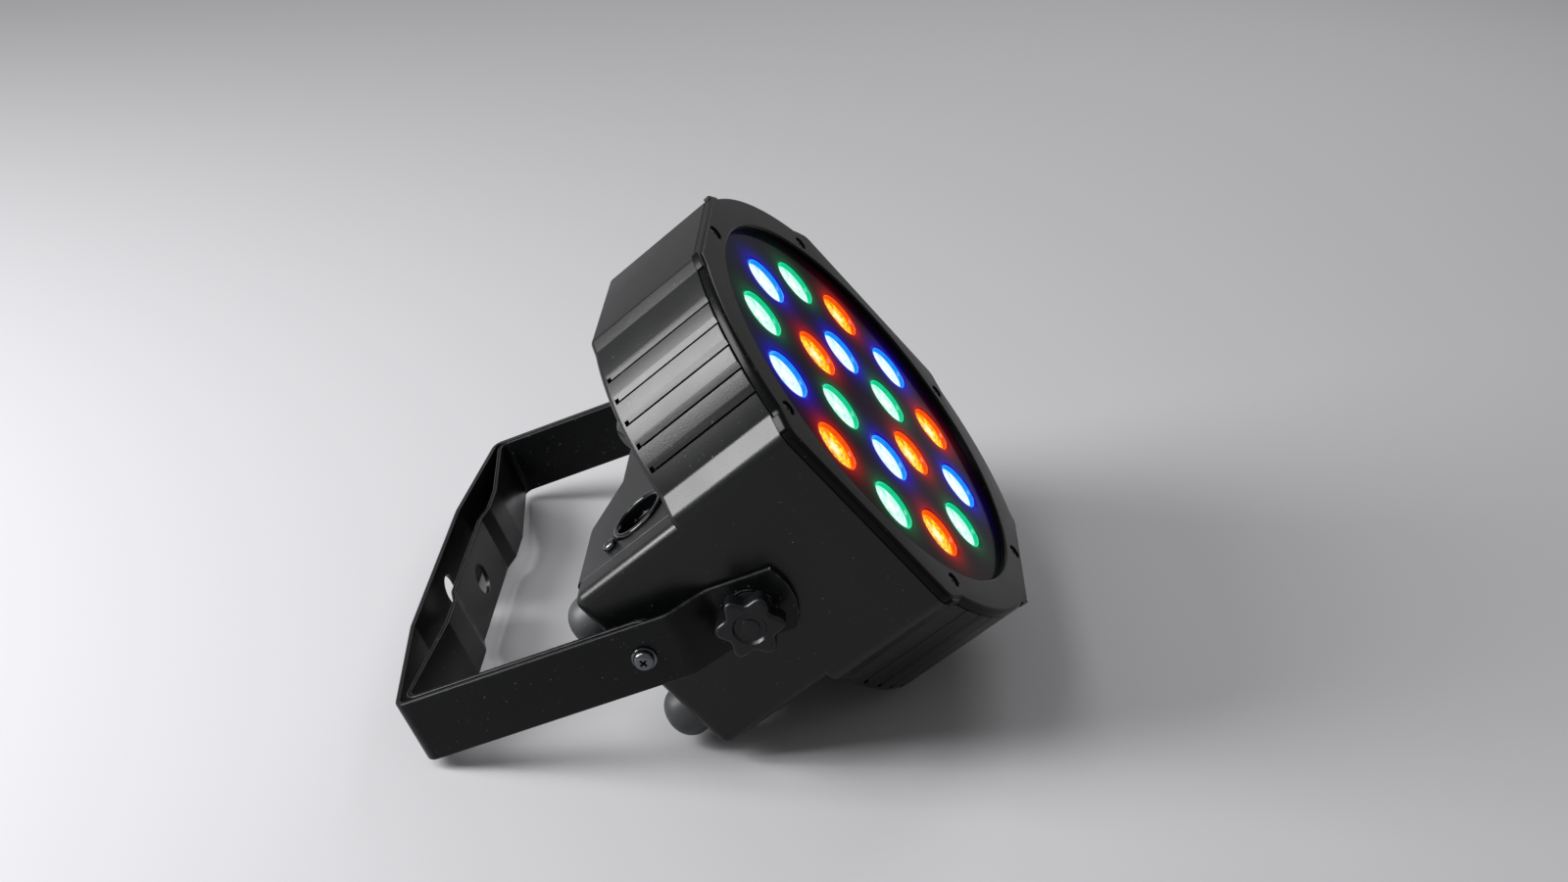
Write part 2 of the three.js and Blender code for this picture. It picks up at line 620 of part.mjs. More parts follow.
// A low lug of the bezel, in the middle of a straight facet.
function knuckle(facet, length, flipX, flipY) {
  const middle = (facet.end + facet.corner) / 2;
  const low = facet.distance - BEZEL_ROUND - OVERRUN;
  const high = facet.distance + KNUCKLE_PROUD;
  const top = FRONT_Z - BEZEL_ROUND / 2;
  const lug = block(low, high, middle - length / 2, middle + length / 2, BEZEL_BACK, top);
  lug.rotateZ(facet.angle);
  if (flipX * flipY < 0) {
    lug.rotateX(TURN / 2).translate(0, 0, top + BEZEL_BACK);
  }
  return solid(flipX > 0 ? lug : lug.rotateZ(TURN / 2));
}

function bezelScrew() {
  const top = FRONT_Z - SCREW_SINK;
  const neck = top - BEZEL_SCREW_HEAD_DEPTH;
  const head = BEZEL_SCREW_HEAD / 2;
  const shank = BEZEL_SCREW_SHANK / 2;
  const tip = top - BEZEL_SCREW_LENGTH;
  const points = [[0, tip], [shank, tip], [shank, neck], [head, neck], [head, top], [0, top]];
  return turned(points, SMALL_SIDES);
}

const LENS_PLACES = {
  outer: around(LENS_OUTER_COUNT, LENS_OUTER_CIRCLE, TURN / 4 - TURN / (2 * LENS_OUTER_COUNT), -1),
  inner: around(LENS_INNER_COUNT, LENS_INNER_CIRCLE, TURN / 4, -1),
};
const LENS_ALL_PLACES = [...LENS_PLACES.outer, ...LENS_PLACES.inner];
const LENS_COLOUR_ORDER = {
  outer: "blue green red blue red blue green red green red blue green".split(" "),
  inner: "red blue green red blue green".split(" "),
};

function lensPlate() {
  const holes = LENS_ALL_PLACES.map(([x, y]) => {
    const hole = bar(LENS_DIAMETER + 2 * GAP, PLATE_BACK - OVERRUN, PLATE_FRONT + OVERRUN, LENS_SIDES);
    return solid(hole.translate(x, y, 0));
  });
  return cut(solid(bar(PLATE_DIAMETER, PLATE_BACK, PLATE_FRONT, DISC_SIDES)), ...holes);
}

// A lens: a cone from its foot over the emitter to a cylindrical rim, with a low crown.
function lens() {
  const top = PLATE_FRONT - LENS_SINK;
  const rim = top - LENS_CROWN;
  const radius = LENS_DIAMETER / 2;
  const points = [
    [0, LENS_BACK],
    [LENS_FOOT / 2, LENS_BACK],
    [radius, rim - LENS_RIM],
    [radius, rim],
    [radius / 2, top - LENS_CROWN / 4],
    [0, top],
  ];
  return turned(points, LENS_SIDES);
}

// The LED board with an emitter under each lens.
function ledBoard() {
  const root = BOARD_BACK + BOARD_DEPTH / 2;
  const emitters = LENS_ALL_PLACES.map(([x, y]) => {
    const emitter = slab(EMITTER_SIZE, EMITTER_SIZE, root, BOARD_FRONT + EMITTER_DEPTH);
    return solid(emitter.translate(x, y, 0));
  });
  return joined(solid(bar(BOARD_DIAMETER, BOARD_BACK, BOARD_FRONT, DISC_SIDES)), ...emitters);
}

// The heat sink: a disc with straight fins on its back.
function heatSink() {
  const field = solid(bar(FIN_FIELD, SINK_BACK - FIN_HEIGHT, SINK_FRONT, DISC_SIDES / 2));
  let made = solid(bar(BOARD_DIAMETER, SINK_BACK, SINK_FRONT, DISC_SIDES));
  for (let i = 0; i < FIN_COUNT; i += 1) {
    const x = (i - (FIN_COUNT - 1) / 2) * FIN_PITCH;
    const fin = slab(FIN_THICKNESS, FIN_FIELD, SINK_BACK - FIN_HEIGHT, SINK_BACK + SINK_DEPTH / 2);
    made = joined(made, solid(fin.translate(x, 0, 0)).intersect(field));
  }
  return made;
}

// The outline of the connector cover across the box, taken in by an inset all round.
function coverOutline(inset) {
  const slope = Math.atan2(VALLEY_DEPTH, (VALLEY_MOUTH - VALLEY_FLOOR) / 2);
  const shift = inset * Math.tan(slope / 2);
  const x = COVER_X - GAP - inset;
  const back = inset - BOX_DEPTH;
  const mouth = VALLEY_MOUTH / 2 + shift;
  const floor = VALLEY_FLOOR / 2 + shift;
  const front = inset > 0 ? OVERRUN : -GAP;
  return shapeOf([
    [-x, front],
    [-x, back],
    [-mouth, back],
    [-floor, VALLEY_Z + inset],
    [floor, VALLEY_Z + inset],
    [mouth, back],
    [x, back],
    [x, front],
  ]);
}

// The connector cover: a tray with a sunk middle for the controls.
function rearCover() {
  const wall = COVER_WALL;
  const height = BOX_TOP + BOX_BOTTOM;
  const middle = (BOX_TOP - BOX_BOTTOM) / 2;
  const outside = prism(coverOutline(0), -BOX_TOP, BOX_BOTTOM).rotateX(TURN / 4);
  const inside = prism(coverOutline(wall), wall - BOX_TOP, BOX_BOTTOM - wall).rotateX(TURN / 4);
  const depth = BOX_DEPTH + 2 * BOX_ROUND;
  const rounded = prism(rectangle(depth, height, BOX_ROUND, true), -COVER_X, COVER_X, ROUND_STEPS);
  rounded.rotateY(TURN / 4).translate(0, middle, depth / 2 - BOX_DEPTH);
  const shell = solid(outside).intersect(solid(rounded));
  let made = cut(shell, solid(inside));
  for (const [x, y] of FOOT_PLACES) {
    const boss = bar(FOOT_BOSS, -BOX_DEPTH, wall - BOX_DEPTH + FOOT_SPIGOT_LENGTH, SMALL_SIDES);
    made = joined(made, solid(boss.translate(x, y, 0)).intersect(shell));
  }
  for (const [x, y] of SUPPLY_PLACES) {
    const post = bar(SUPPLY_POST, wall / 2 - BOX_DEPTH, SUPPLY_BACK - GAP, SMALL_SIDES);
    made = joined(made, solid(post.translate(x, y, 0)).intersect(shell));
  }
  for (const [x, y] of FOOT_PLACES) {
    const top = FOOT_SPIGOT_LENGTH - BOX_DEPTH;
    const hole = bar(FOOT_SPIGOT + 2 * GAP, -BOX_DEPTH - OVERRUN, top, SMALL_SIDES);
    made = cut(made, solid(hole.translate(x, y, 0)));
  }
  const plugWidth = PANEL_WIDTH - 2 * PANEL_PLUG_STEP + 2 * GAP;
  const plugHeight = PANEL_HEIGHT - 2 * PANEL_PLUG_STEP + 2 * GAP;
  const window = slab(plugWidth, plugHeight, VALLEY_Z - OVERRUN, VALLEY_Z + wall + OVERRUN);
  made = cut(made, solid(window));
  for (const side of [-1, 1]) {
    made = cut(made, ...socketHoles(side));
  }
  return made;
}

// The holes in the cover's label side, or in its opposite, for the sockets and their screws.
function socketHoles(side) {
  const low = Math.min(BOX_TOP, BOX_BOTTOM) - COVER_WALL - OVERRUN;
  const high = Math.max(BOX_TOP, BOX_BOTTOM) + OVERRUN;
  const tools = [];
  const barrel = bar(DATA_BARREL + 2 * GAP, low, high, HOLE_SIDES);
  tools.push(barrel.translate(-DATA_X, 0, 0));
  for (const end of [-1, 1]) {
    const hole = bar(DATA_SCREW_SHANK + 2 * GAP, low, high, FINE_SIDES);
    tools.push(hole.translate(-end * DATA_SCREW_X - DATA_X, end * DATA_SCREW_Y, 0));
  }
  const power = slab(POWER_BODY_WIDTH + 2 * GAP, POWER_BODY_HEIGHT + 2 * GAP, low, high);
  tools.push(power.translate(POWER_X, 0, 0));
  if (side < 0) {
    tools.push(latchSlot(low, high).translate(-DATA_X, 0, 0));
  }
  return tools.map((tool) => solid(tool.rotateX(-side * TURN / 4).translate(0, 0, -SOCKET_Z)));
}

// The slot that the latch slides in, beside a socket's mouth, along Z.
function latchSlot(low, high) {
  const width = LATCH_WIDTH + 2 * GAP;
  const inner = DATA_CAVITY / 2 + LATCH_SEAT;
  const outer = inner + LATCH_THICKNESS + 2 * GAP;
  return block(-width / 2, width / 2, inner, outer, low, high);
}

// A round data socket along Z, with its mouth at the top and its flange under the cover's wall.
function dataSocket(holes) {
  const flangeTop = -COVER_WALL - GAP;
  const flange = slab(DATA_FLANGE_WIDTH, DATA_FLANGE_HEIGHT, flangeTop - DATA_FLANGE_DEPTH, flangeTop);
  const floor = DATA_PROUD - DATA_CAVITY_DEPTH;
  let made = joined(solid(bar(DATA_BARREL, -DATA_BODY_DEPTH, DATA_PROUD)), solid(flange));
  made = cut(made, solid(bar(DATA_CAVITY, floor, DATA_PROUD + OVERRUN)));
  const pins = around(DATA_PIN_COUNT, DATA_PIN_CIRCLE, -TURN / 4);
  if (holes) {
    made = joined(made, solid(bar(DATA_INSERT, floor - OVERRUN, 0, LENS_SIDES)));
    const slot = latchSlot(LATCH_LOW - LATCH_TRAVEL - GAP, DATA_PROUD + OVERRUN);
    made = cut(made, solid(slot));
  }
  for (const [x, y] of pins) {
    const top = holes ? OVERRUN : floor + DATA_PIN_LENGTH;
    const low = holes ? -DATA_PIN_LENGTH : floor - OVERRUN;
    const pin = solid(bar(DATA_PIN, low, top, FINE_SIDES).translate(x, y, 0));
    made = holes ? cut(made, pin) : joined(made, pin);
  }
  for (const end of [-1, 1]) {
    const place = [-end * DATA_SCREW_X, end * DATA_SCREW_Y, 0];
    if (holes) {
      made = joined(made, solid(socketScrew().translate(...place)));
    } else {
      const low = -DATA_SCREW_LENGTH - OVERRUN;
      const hole = bar(DATA_SCREW_SHANK + 2 * GAP, low, 0, FINE_SIDES);
      made = cut(made, solid(hole.translate(...place)));
    }
  }
  return made;
}

// A screw of a data socket, its head on the cover's wall.
function socketScrew() {
  const head = DATA_SCREW_HEAD / 2;
  const shank = DATA_SCREW_SHANK / 2;
  const top = GAP + DATA_SCREW_HEAD_DEPTH;
  const points = [
    [0, -DATA_SCREW_LENGTH],
    [shank, -DATA_SCREW_LENGTH],
    [shank, GAP],
    [head, GAP],
    [head, GAP + DATA_SCREW_HEAD_DEPTH / 2],
    [head / 2, top],
    [0, top],
  ];
  return turned(points, SMALL_SIDES);
}

// The power outline: a rectangle with the two corners at the earth pin's side cut off.
function powerOutline(inset) {
  const x = POWER_MOUTH_WIDTH / 2 - inset;
  const y = POWER_MOUTH_HEIGHT / 2 - inset;
  const corner = POWER_MOUTH_CORNER - inset / 2;
  return shapeOf([
    [-x, -y],
    [x, -y],
    [x, y - corner],
    [x - corner, y],
    [corner - x, y],
    [-x, y - corner],
  ]);
}

// A power socket along Z, with its flange on the cover's wall: an inlet, or an outlet with slots.
function powerSocket(slots) {
  const top = GAP + POWER_FLANGE_DEPTH;
  const floor = top - POWER_MOUTH_DEPTH;
  const flange = rectangle(POWER_FLANGE_WIDTH, POWER_FLANGE_HEIGHT, POWER_FLANGE_CORNER);
  const body = slab(POWER_BODY_WIDTH, POWER_BODY_HEIGHT, top - POWER_BODY_DEPTH, top);
  let made = joined(solid(prism(flange, GAP, top)), solid(body));
  made = cut(made, solid(prism(powerOutline(0), floor, top + OVERRUN)));
  if (slots) {
    made = joined(made, solid(prism(powerOutline(POWER_SHROUD_GAP), floor - OVERRUN, top)));
  }
  for (const column of [-1, 0, 1]) {
    const x = column * POWER_BLADE_SPREAD;
    const y = column === 0 ? POWER_BLADE_RISE : -POWER_BLADE_RISE;
    const grow = slots ? POWER_SLOT_CLEARANCE : 0;
    const width = POWER_BLADE_THICKNESS + grow;
    const height = POWER_BLADE_WIDTH + grow;
    const low = slots ? top - POWER_SLOT_DEPTH : floor - OVERRUN;
    const high = slots ? top + OVERRUN : floor + POWER_BLADE_LENGTH;
    const blade = solid(slab(width, height, low, high).translate(x, y, 0));
    made = slots ? cut(made, blade) : joined(made, blade);
  }
  return made;
}

const LATCH_LOW = DATA_PROUD + LATCH_PROUD - LATCH_LENGTH;

// The push tab that frees a plug, in its slot.
function latch() {
  const inner = DATA_CAVITY / 2 + LATCH_SEAT + GAP;
  const outer = inner + LATCH_THICKNESS;
  return block(-LATCH_WIDTH / 2, LATCH_WIDTH / 2, inner, outer, LATCH_LOW, LATCH_LOW + LATCH_LENGTH);
}

const BUTTON_PLACES = [BUTTON_ROW_Y, BUTTON_ROW_Y - BUTTON_PITCH_Y].flatMap((y) => [
  [-BUTTON_PITCH_X / 2, y],
  [BUTTON_PITCH_X / 2, y],
]);

// The control panel: a thin flange on the valley's floor and a plug through it.
function controlPanel() {
  const plugWidth = PANEL_WIDTH - 2 * PANEL_PLUG_STEP;
  const plugHeight = PANEL_HEIGHT - 2 * PANEL_PLUG_STEP;
  const face = PANEL_FACE - OVERRUN;
  let made = joined(
    solid(prism(rectangle(PANEL_WIDTH, PANEL_HEIGHT, PANEL_PLUG_STEP), PANEL_FACE, VALLEY_Z - GAP)),
    solid(slab(plugWidth, plugHeight, PANEL_FACE, PANEL_INNER)),
  );
  const shelf = PANEL_FACE + DISPLAY_WINDOW_DEPTH + GAP;
  const seat = slab(DISPLAY_WIDTH + 2 * GAP, DISPLAY_HEIGHT + 2 * GAP, face, shelf);
  const width = DISPLAY_WIDTH - 2 * PANEL_PLUG_STEP;
  const height = DISPLAY_HEIGHT - 2 * PANEL_PLUG_STEP;
  const view = slab(width, height, face, PANEL_INNER + OVERRUN);
  made = cut(made, solid(seat.translate(0, DISPLAY_Y, 0)), solid(view.translate(0, DISPLAY_Y, 0)));
  for (const [x, y] of BUTTON_PLACES) {
    const hole = bar(BUTTON_DIAMETER + 2 * GAP, face, PANEL_INNER + OVERRUN, LENS_SIDES);
    made = cut(made, solid(hole.translate(x, y, 0)));
  }
  for (const [x, y] of CONTROL_POST_PLACES) {
    const post = bar(CONTROL_POST, VALLEY_Z, CONTROL_BOARD_Z - GAP, FINE_SIDES);
    made = joined(made, solid(post.translate(x, y, 0)));
  }
  return made;
}

// A push button, with the collar that keeps it behind the panel.
function button() {
  const radius = BUTTON_DIAMETER / 2;
  const collar = BUTTON_COLLAR / 2;
  const low = PANEL_FACE - BUTTON_PROUD;
  const step = PANEL_INNER + GAP;
  const points = [
    [0, low],
    [radius, low],
    [radius, step],
    [collar, step],
    [collar, BUTTON_INNER],
    [0, BUTTON_INNER],
  ];
  return turned(points, LENS_SIDES);
}

// The control board with its four switches and its ribbon connector.
function controlBoard() {
  const width = PANEL_WIDTH - 2 * PANEL_PLUG_STEP;
  const height = PANEL_HEIGHT - 2 * PANEL_PLUG_STEP;
  const top = CONTROL_BOARD_Z + CONTROL_BOARD_DEPTH;
  let made = solid(slab(width, height, CONTROL_BOARD_Z, top));
  for (const [x, y] of BUTTON_PLACES) {
    const low = BUTTON_INNER + BUTTON_TRAVEL + GAP / 2;
    const key = slab(SWITCH_SIZE, SWITCH_SIZE, low, top - CONTROL_BOARD_DEPTH / 2);
    made = joined(made, solid(key.translate(x, y, 0)));
  }
  const plug = slab(width / 2, SWITCH_SIZE, top - CONTROL_BOARD_DEPTH / 2, top + SWITCH_SIZE);
  return joined(made, solid(plug.translate(0, DISPLAY_Y, 0)));
}

// The power supply board: transformer, two capacitors and a terminal block on its front.
function powerBoard() {
  const front = SUPPLY_BACK + SUPPLY_DEPTH;
  const root = front - SUPPLY_DEPTH / 2;
  const x = SUPPLY_WIDTH / 2 - COMPONENT_MARGIN;
  const y = SUPPLY_HEIGHT / 2 - COMPONENT_MARGIN;
  const low = y - TRANSFORMER_SIZE;
  const transformer = block(-x, TRANSFORMER_SIZE - x, low, y, root, front + TRANSFORMER_HEIGHT);
  const terminal = block(-x, TERMINAL_WIDTH - x, -y, TERMINAL_HEIGHT - y, root, front + TERMINAL_HEIGHT);
  const board = slab(SUPPLY_WIDTH, SUPPLY_HEIGHT, SUPPLY_BACK, front);
  let made = joined(solid(board), solid(transformer), solid(terminal));
  for (const side of [-1, 1]) {
    const capacitor = bar(CAPACITOR_DIAMETER, root, front + CAPACITOR_HEIGHT, SMALL_SIDES);
    capacitor.translate(x - CAPACITOR_DIAMETER, side * CAPACITOR_DIAMETER, 0);
    made = joined(made, solid(capacitor));
  }
  return made;
}

// A rubber foot with the spigot that holds it in the cover, standing along Z.
function rubberFoot() {
  const radius = FOOT_DIAMETER / 2;
  const spigot = FOOT_SPIGOT / 2;
  const edge = FOOT_HEIGHT - FOOT_ROUND;
  const low = GAP - FOOT_SPIGOT_LENGTH;
  const half = FOOT_ROUND * Math.SQRT1_2;
  const points = [
    [0, low],
    [spigot, low],
    [spigot, 0],
    [radius, 0],
    [radius, edge],
    [radius - FOOT_ROUND + half, edge + half],
    [radius - FOOT_ROUND, FOOT_HEIGHT],
    [0, FOOT_HEIGHT],
  ];
  return turned(points, HOLE_SIDES);
}

// A steel strip bent along a path of points in X and Z, as wide as the strip in Y.
function bentStrip(path, radii) {
  const stations = [];
  path.forEach(([x, z], i) => {
    const before = i > 0 ? heading(path[i - 1], path[i]) : heading(path[0], path[1]);
    const after = i < path.length - 1 ? heading(path[i], path[i + 1]) : before;
    const turn = Math.atan2(Math.sin(after - before), Math.cos(after - before));
    const tangent = radii[i] * Math.tan(Math.abs(turn) / 2);
    const steps = turn === 0 ? 0 : BEND_STEPS;
    const [centreX, centreZ] = bendCentre(x, z, before, turn, radii[i], tangent);
    for (let k = 0; k <= steps; k += 1) {
      const angle = steps > 0 ? before + (turn * k) / steps : before;
      const out = angle - (Math.sign(turn) * TURN) / 4;
      const bent = [centreX + radii[i] * Math.cos(out), centreZ + radii[i] * Math.sin(out)];
      stations.push({ at: steps > 0 ? bent : [x, z], angle });
    }
  });
  const offset = (side) => stations.map(({ at: [x, z], angle }) => {
    const shift = (side * STRIP_THICKNESS) / 2;
    return [x - shift * Math.sin(angle), z + shift * Math.cos(angle)];
  });
  const outline = shapeOf([...offset(-1), ...offset(1).reverse()]);
  return prism(outline, -STRIP_WIDTH / 2, STRIP_WIDTH / 2).rotateX(TURN / 4);
}

function heading([x0, z0], [x1, z1]) {
  return Math.atan2(z1 - z0, x1 - x0);
}

// The centre of the arc that rounds a corner of a bent strip.
function bendCentre(x, z, before, turn, radius, tangent) {
  const startX = x - tangent * Math.cos(before);
  const startZ = z - tangent * Math.sin(before);
  const inward = before + (Math.sign(turn) * TURN) / 4;
  return [startX + radius * Math.cos(inward), startZ + radius * Math.sin(inward)];
}

// Both halves of a bracket's path, from the points and bend radii of the right half.
function mirroredPath(points) {
  const right = points.map(([x, z]) => [x, z]);
  const left = points.map(([x, z]) => [-x, z]).reverse();
  const radii = points.map(([, , radius]) => radius);
  return [[...right, ...left], [...radii, ...radii.slice().reverse()]];
}

// The outer bracket, with its arm ends cut to a shallow arc.
function mountingBracket() {
  const [path, radii] = mirroredPath([
    [ARM_END_X, ARM_END, 0],
    [ARM_END_X, -CRANK_START, EASY_BEND_RADIUS],
    [ARM_X, -CRANK_END, EASY_BEND_RADIUS],
    [ARM_X, -BACK_U, BEND_RADIUS],
    [BACK_HALF, -BACK_U - BACK_RISE, EASY_BEND_RADIUS],
  ]);
  const half = STRIP_WIDTH / 2;
  const endRadius = (half ** 2 + ARM_END_RISE ** 2) / (2 * ARM_END_RISE);
  const spread = Math.asin(half / endRadius);
  const blank = new THREE.Shape();
  blank.moveTo(-half - OVERRUN, -ARM_REACH - BACK_RISE - OVERRUN);
  blank.lineTo(half + OVERRUN, -ARM_REACH - BACK_RISE - OVERRUN);
  blank.lineTo(half + OVERRUN, ARM_END - ARM_END_RISE);
  blank.absarc(0, ARM_END - endRadius, endRadius, TURN / 4 - spread, TURN / 4 + spread, false);
  blank.lineTo(-half - OVERRUN, ARM_END - ARM_END_RISE);
  let made = solid(bentStrip(path, radii)).intersect(acrossArms(blank));
  const reach = BRACKET_SPAN / 2 + OVERRUN;
  const pivot = crossBar(STUD + 2 * GAP, -reach, reach);
  made = cut(made, solid(pivot), sideScrewHoles(), clampHole());
  return made;
}

// The inner bracket, round ended, whose crossbar dips towards the head and steps back.
function standBracket() {
  const dip = STAND_DIP - STAND_U;
  const [path, radii] = mirroredPath([
    [STAND_X, STRIP_WIDTH / 2 - SIDE_SCREW_AT, 0],
    [STAND_X, -STAND_U, BEND_RADIUS],
    [STAND_DIP_HALF, dip, EASY_BEND_RADIUS],
    [STAND_STEP_HALF, dip, BEND_RADIUS],
    [STAND_STEP_END_HALF, dip - STAND_STEP, BEND_RADIUS],
  ]);
  const half = STRIP_WIDTH / 2;
  const blank = new THREE.Shape();
  blank.moveTo(-half, -ARM_REACH);
  blank.lineTo(half, -ARM_REACH);
  blank.absarc(0, -SIDE_SCREW_AT, half, 0, TURN / 2, false);
  const made = solid(bentStrip(path, radii)).intersect(acrossArms(blank));
  return cut(made, sideScrewHoles(), clampHole());
}

// An outline in Y and Z, as a prism that crosses both arms.
function acrossArms(shape) {
  const reach = BRACKET_SPAN / 2 + OVERRUN;
  const laid = prism(shape, -reach, reach, END_STEPS);
  const turnedUp = laid.rotateZ(TURN / 4).rotateY(TURN / 4);
  return solid(turnedUp);
}

function sideScrewHoles() {
  const reach = BRACKET_SPAN / 2 + OVERRUN;
  return solid(crossBar(SIDE_SCREW + 2 * GAP, -reach, reach).translate(0, 0, -SIDE_SCREW_AT));
}

function clampHole() {
  return solid(bar(CLAMP_HOLE, -ARM_REACH - BACK_RISE - OVERRUN, -STAND_U + STAND_DIP + OVERRUN));
}

// The screw that joins the brackets on one side, lying along X, with its washer.
function bracketScrew(side) {
  const washerLow = BRACKET_SPAN / 2 + GAP;
  const headLow = washerLow + SIDE_WASHER_DEPTH;
  const top = headLow + SIDE_HEAD_DEPTH;
  const tip = NUT_INNER - GAP;
  const shank = SIDE_SCREW / 2;
  const head = SIDE_HEAD / 2;
  const points = [
    [0, tip],
    [shank, tip],
    [shank, washerLow],
    [SIDE_WASHER / 2, washerLow],
    [SIDE_WASHER / 2, headLow],
    [head, headLow],
    [head, headLow + SIDE_HEAD_DEPTH / 2],
    [head / 2, top],
    [0, top],
  ];
  return turned(points, LENS_SIDES).rotateY((side * TURN) / 4);
}

// The hexagon nut inside the inner bracket.
function bracketNut(side) {
  const corners = around(FINE_SIDES, NUT_ACROSS / Math.cos(TURN / (2 * FINE_SIDES)), 0);
  const nut = shapeOf(corners);
  nut.holes.push(new THREE.Path().absarc(0, 0, SIDE_SCREW / 2 + GAP, 0, TURN, true));
  const made = prism(nut, NUT_INNER, NUT_INNER + NUT_DEPTH);
  return made.rotateY((side * TURN) / 4);
}

const NUT_INNER = STAND_X - STRIP_THICKNESS / 2 - GAP - NUT_DEPTH;

// A tilt knob along X: a lobed grip on a collar, and the stud that threads into the head.
function tiltKnob(side) {
  const steps = KNOB_LOBES * KNOB_STEPS;
  const points = Array.from({ length: steps }, (_, i) => {
    const angle = (i * TURN) / steps;
    const dip = (KNOB_VALLEY * (1 - Math.cos(KNOB_LOBES * angle))) / 2;
    return polar(KNOB_DIAMETER / 2 - dip, angle + (KNOB_TURN * TURN) / 360);
  });
  const top = KNOB_X + KNOB_DEPTH;
  const grip = roundedPrism(shapeOf(points), KNOB_X + KNOB_COLLAR_DEPTH, top, KNOB_ROUND);
  const collar = bar(KNOB_COLLAR, KNOB_X, KNOB_X + KNOB_DEPTH / 2);
  const stud = bar(STUD, SIDE_X - STUD_BITE, KNOB_X + KNOB_DEPTH / 2, SMALL_SIDES);
  const dish = bar(KNOB_DISH, top - KNOB_DISH_DEPTH, top + OVERRUN);
  const made = cut(joined(solid(grip), solid(collar), solid(stud)), solid(dish));
  return geometryOf(made).rotateY((side * TURN) / 4);
}

function knobWasher(side) {
  const ring = new THREE.Shape().absarc(0, 0, WASHER_DIAMETER / 2, 0, TURN, false);
  ring.holes.push(new THREE.Path().absarc(0, 0, STUD / 2 + GAP, 0, TURN, true));
  return prism(ring, WASHER_X, WASHER_X + WASHER_DEPTH).rotateY((side * TURN) / 4);
}

// The lean of the head when its housing's rim and the crossbar's edge lie on one floor, from
// level towards upright. The rim's rounding makes the small term.
function restLean() {
  const arm = THREE.MathUtils.degToRad(BRACKET_ANGLE);
  const back = ARM_REACH + BACK_RISE;
  const half = STRIP_WIDTH / 2;
  const across = half * Math.cos(arm) - back * Math.sin(arm) - LABEL_Y + BODY_RIM_ROUND;
  const along = back * Math.cos(arm) + half * Math.sin(arm) + BODY_RIM_ROUND;
  return Math.asin(BODY_RIM_ROUND / Math.hypot(across, along)) - Math.atan2(across, along);
}

function add(group, name, geometry, material, place = [0, 0, 0]) {
  const mesh = new THREE.Mesh(geometry, material);
  mesh.name = name;
  mesh.position.set(...place);
  group.add(mesh);
  return mesh;
}

function number(index) {
  return String(index + 1).padStart(2, "0");
}

// The optics: bezel, plate, lenses, board and heat sink.
function addOptics(head) {
  add(head, "front_bezel", geometryOf(frontBezel()), BLACK_SHELL);
  BEZEL_SCREW_PLACES.forEach(([x, y], i) => {
    add(head, `bezel_screw_${i + 1}`, bezelScrew(), BLACK_STEEL, [x, y, 0]);
  });
  add(head, "lens_plate", geometryOf(lensPlate()), BLACK_GLOSS);
  for (const ring of ["outer", "inner"]) {
    LENS_PLACES[ring].forEach(([x, y], i) => {
      const colour = finish(LENS_COLOURS[LENS_COLOUR_ORDER[ring][i]], LENS_ROUGHNESS, 0);
      add(head, `lens_${ring}_${number(i)}`, lens(), colour, [x, y, 0]);
    });
  }
  add(head, "led_board", geometryOf(ledBoard()), BOARD_WHITE);
  add(head, "heat_sink", geometryOf(heatSink()), ALUMINIUM);
}

// The connector cover with its sockets, controls, boards and feet.
function addRear(head) {
  add(head, "rear_cover", geometryOf(rearCover()), BLACK_SHELL);
  for (const side of [-1, 1]) {
    const face = new THREE.Group();
    face.position.set(0, side > 0 ? BOX_TOP : -BOX_BOTTOM, -SOCKET_Z);
    face.rotation.x = (-side * TURN) / 4;
    head.add(face);
    const data = [-DATA_X, 0, 0];
    const power = [POWER_X, 0, 0];
    if (side > 0) {
      add(face, "data_in_socket", geometryOf(dataSocket(false)), BLACK_STEEL, data);
      for (const end of [-1, 1]) {
        const place = [-end * DATA_SCREW_X - DATA_X, end * DATA_SCREW_Y, 0];
        add(face, `socket_screw_${end < 0 ? 1 : 2}`, socketScrew(), BLACK_STEEL, place);
      }
      add(face, "power_inlet", geometryOf(powerSocket(false)), BLACK_SHELL, power);
    } else {
      add(face, "data_out_socket", geometryOf(dataSocket(true)), BLACK_STEEL, data);
      add(face, "data_out_latch", latch(), BUTTON_GREY, data);
      add(face, "power_outlet", geometryOf(powerSocket(true)), BLACK_SHELL, power);
    }
  }
  FOOT_PLACES.forEach(([x, y], i) => {
    const foot = add(head, `rubber_foot_${i + 1}`, rubberFoot(), RUBBER, [x, y, -BOX_DEPTH - GAP]);
    foot.rotation.x = TURN / 2;
  });
  add(head, "control_panel", geometryOf(controlPanel()), BLACK_GLOSS);
  const glass = slab(DISPLAY_WIDTH, DISPLAY_HEIGHT, PANEL_FACE, PANEL_FACE + DISPLAY_WINDOW_DEPTH);
  add(head, "display_window", glass, SMOKED, [0, DISPLAY_Y, 0]);
  BUTTON_PLACES.forEach(([x, y], i) => {
    add(head, `menu_button_${i + 1}`, button(), BUTTON_GREY, [x, y, 0]);
  });
  add(head, "control_board", geometryOf(controlBoard()), BOARD_GREEN);
  add(head, "power_board", geometryOf(powerBoard()), BOARD_GREEN);
}

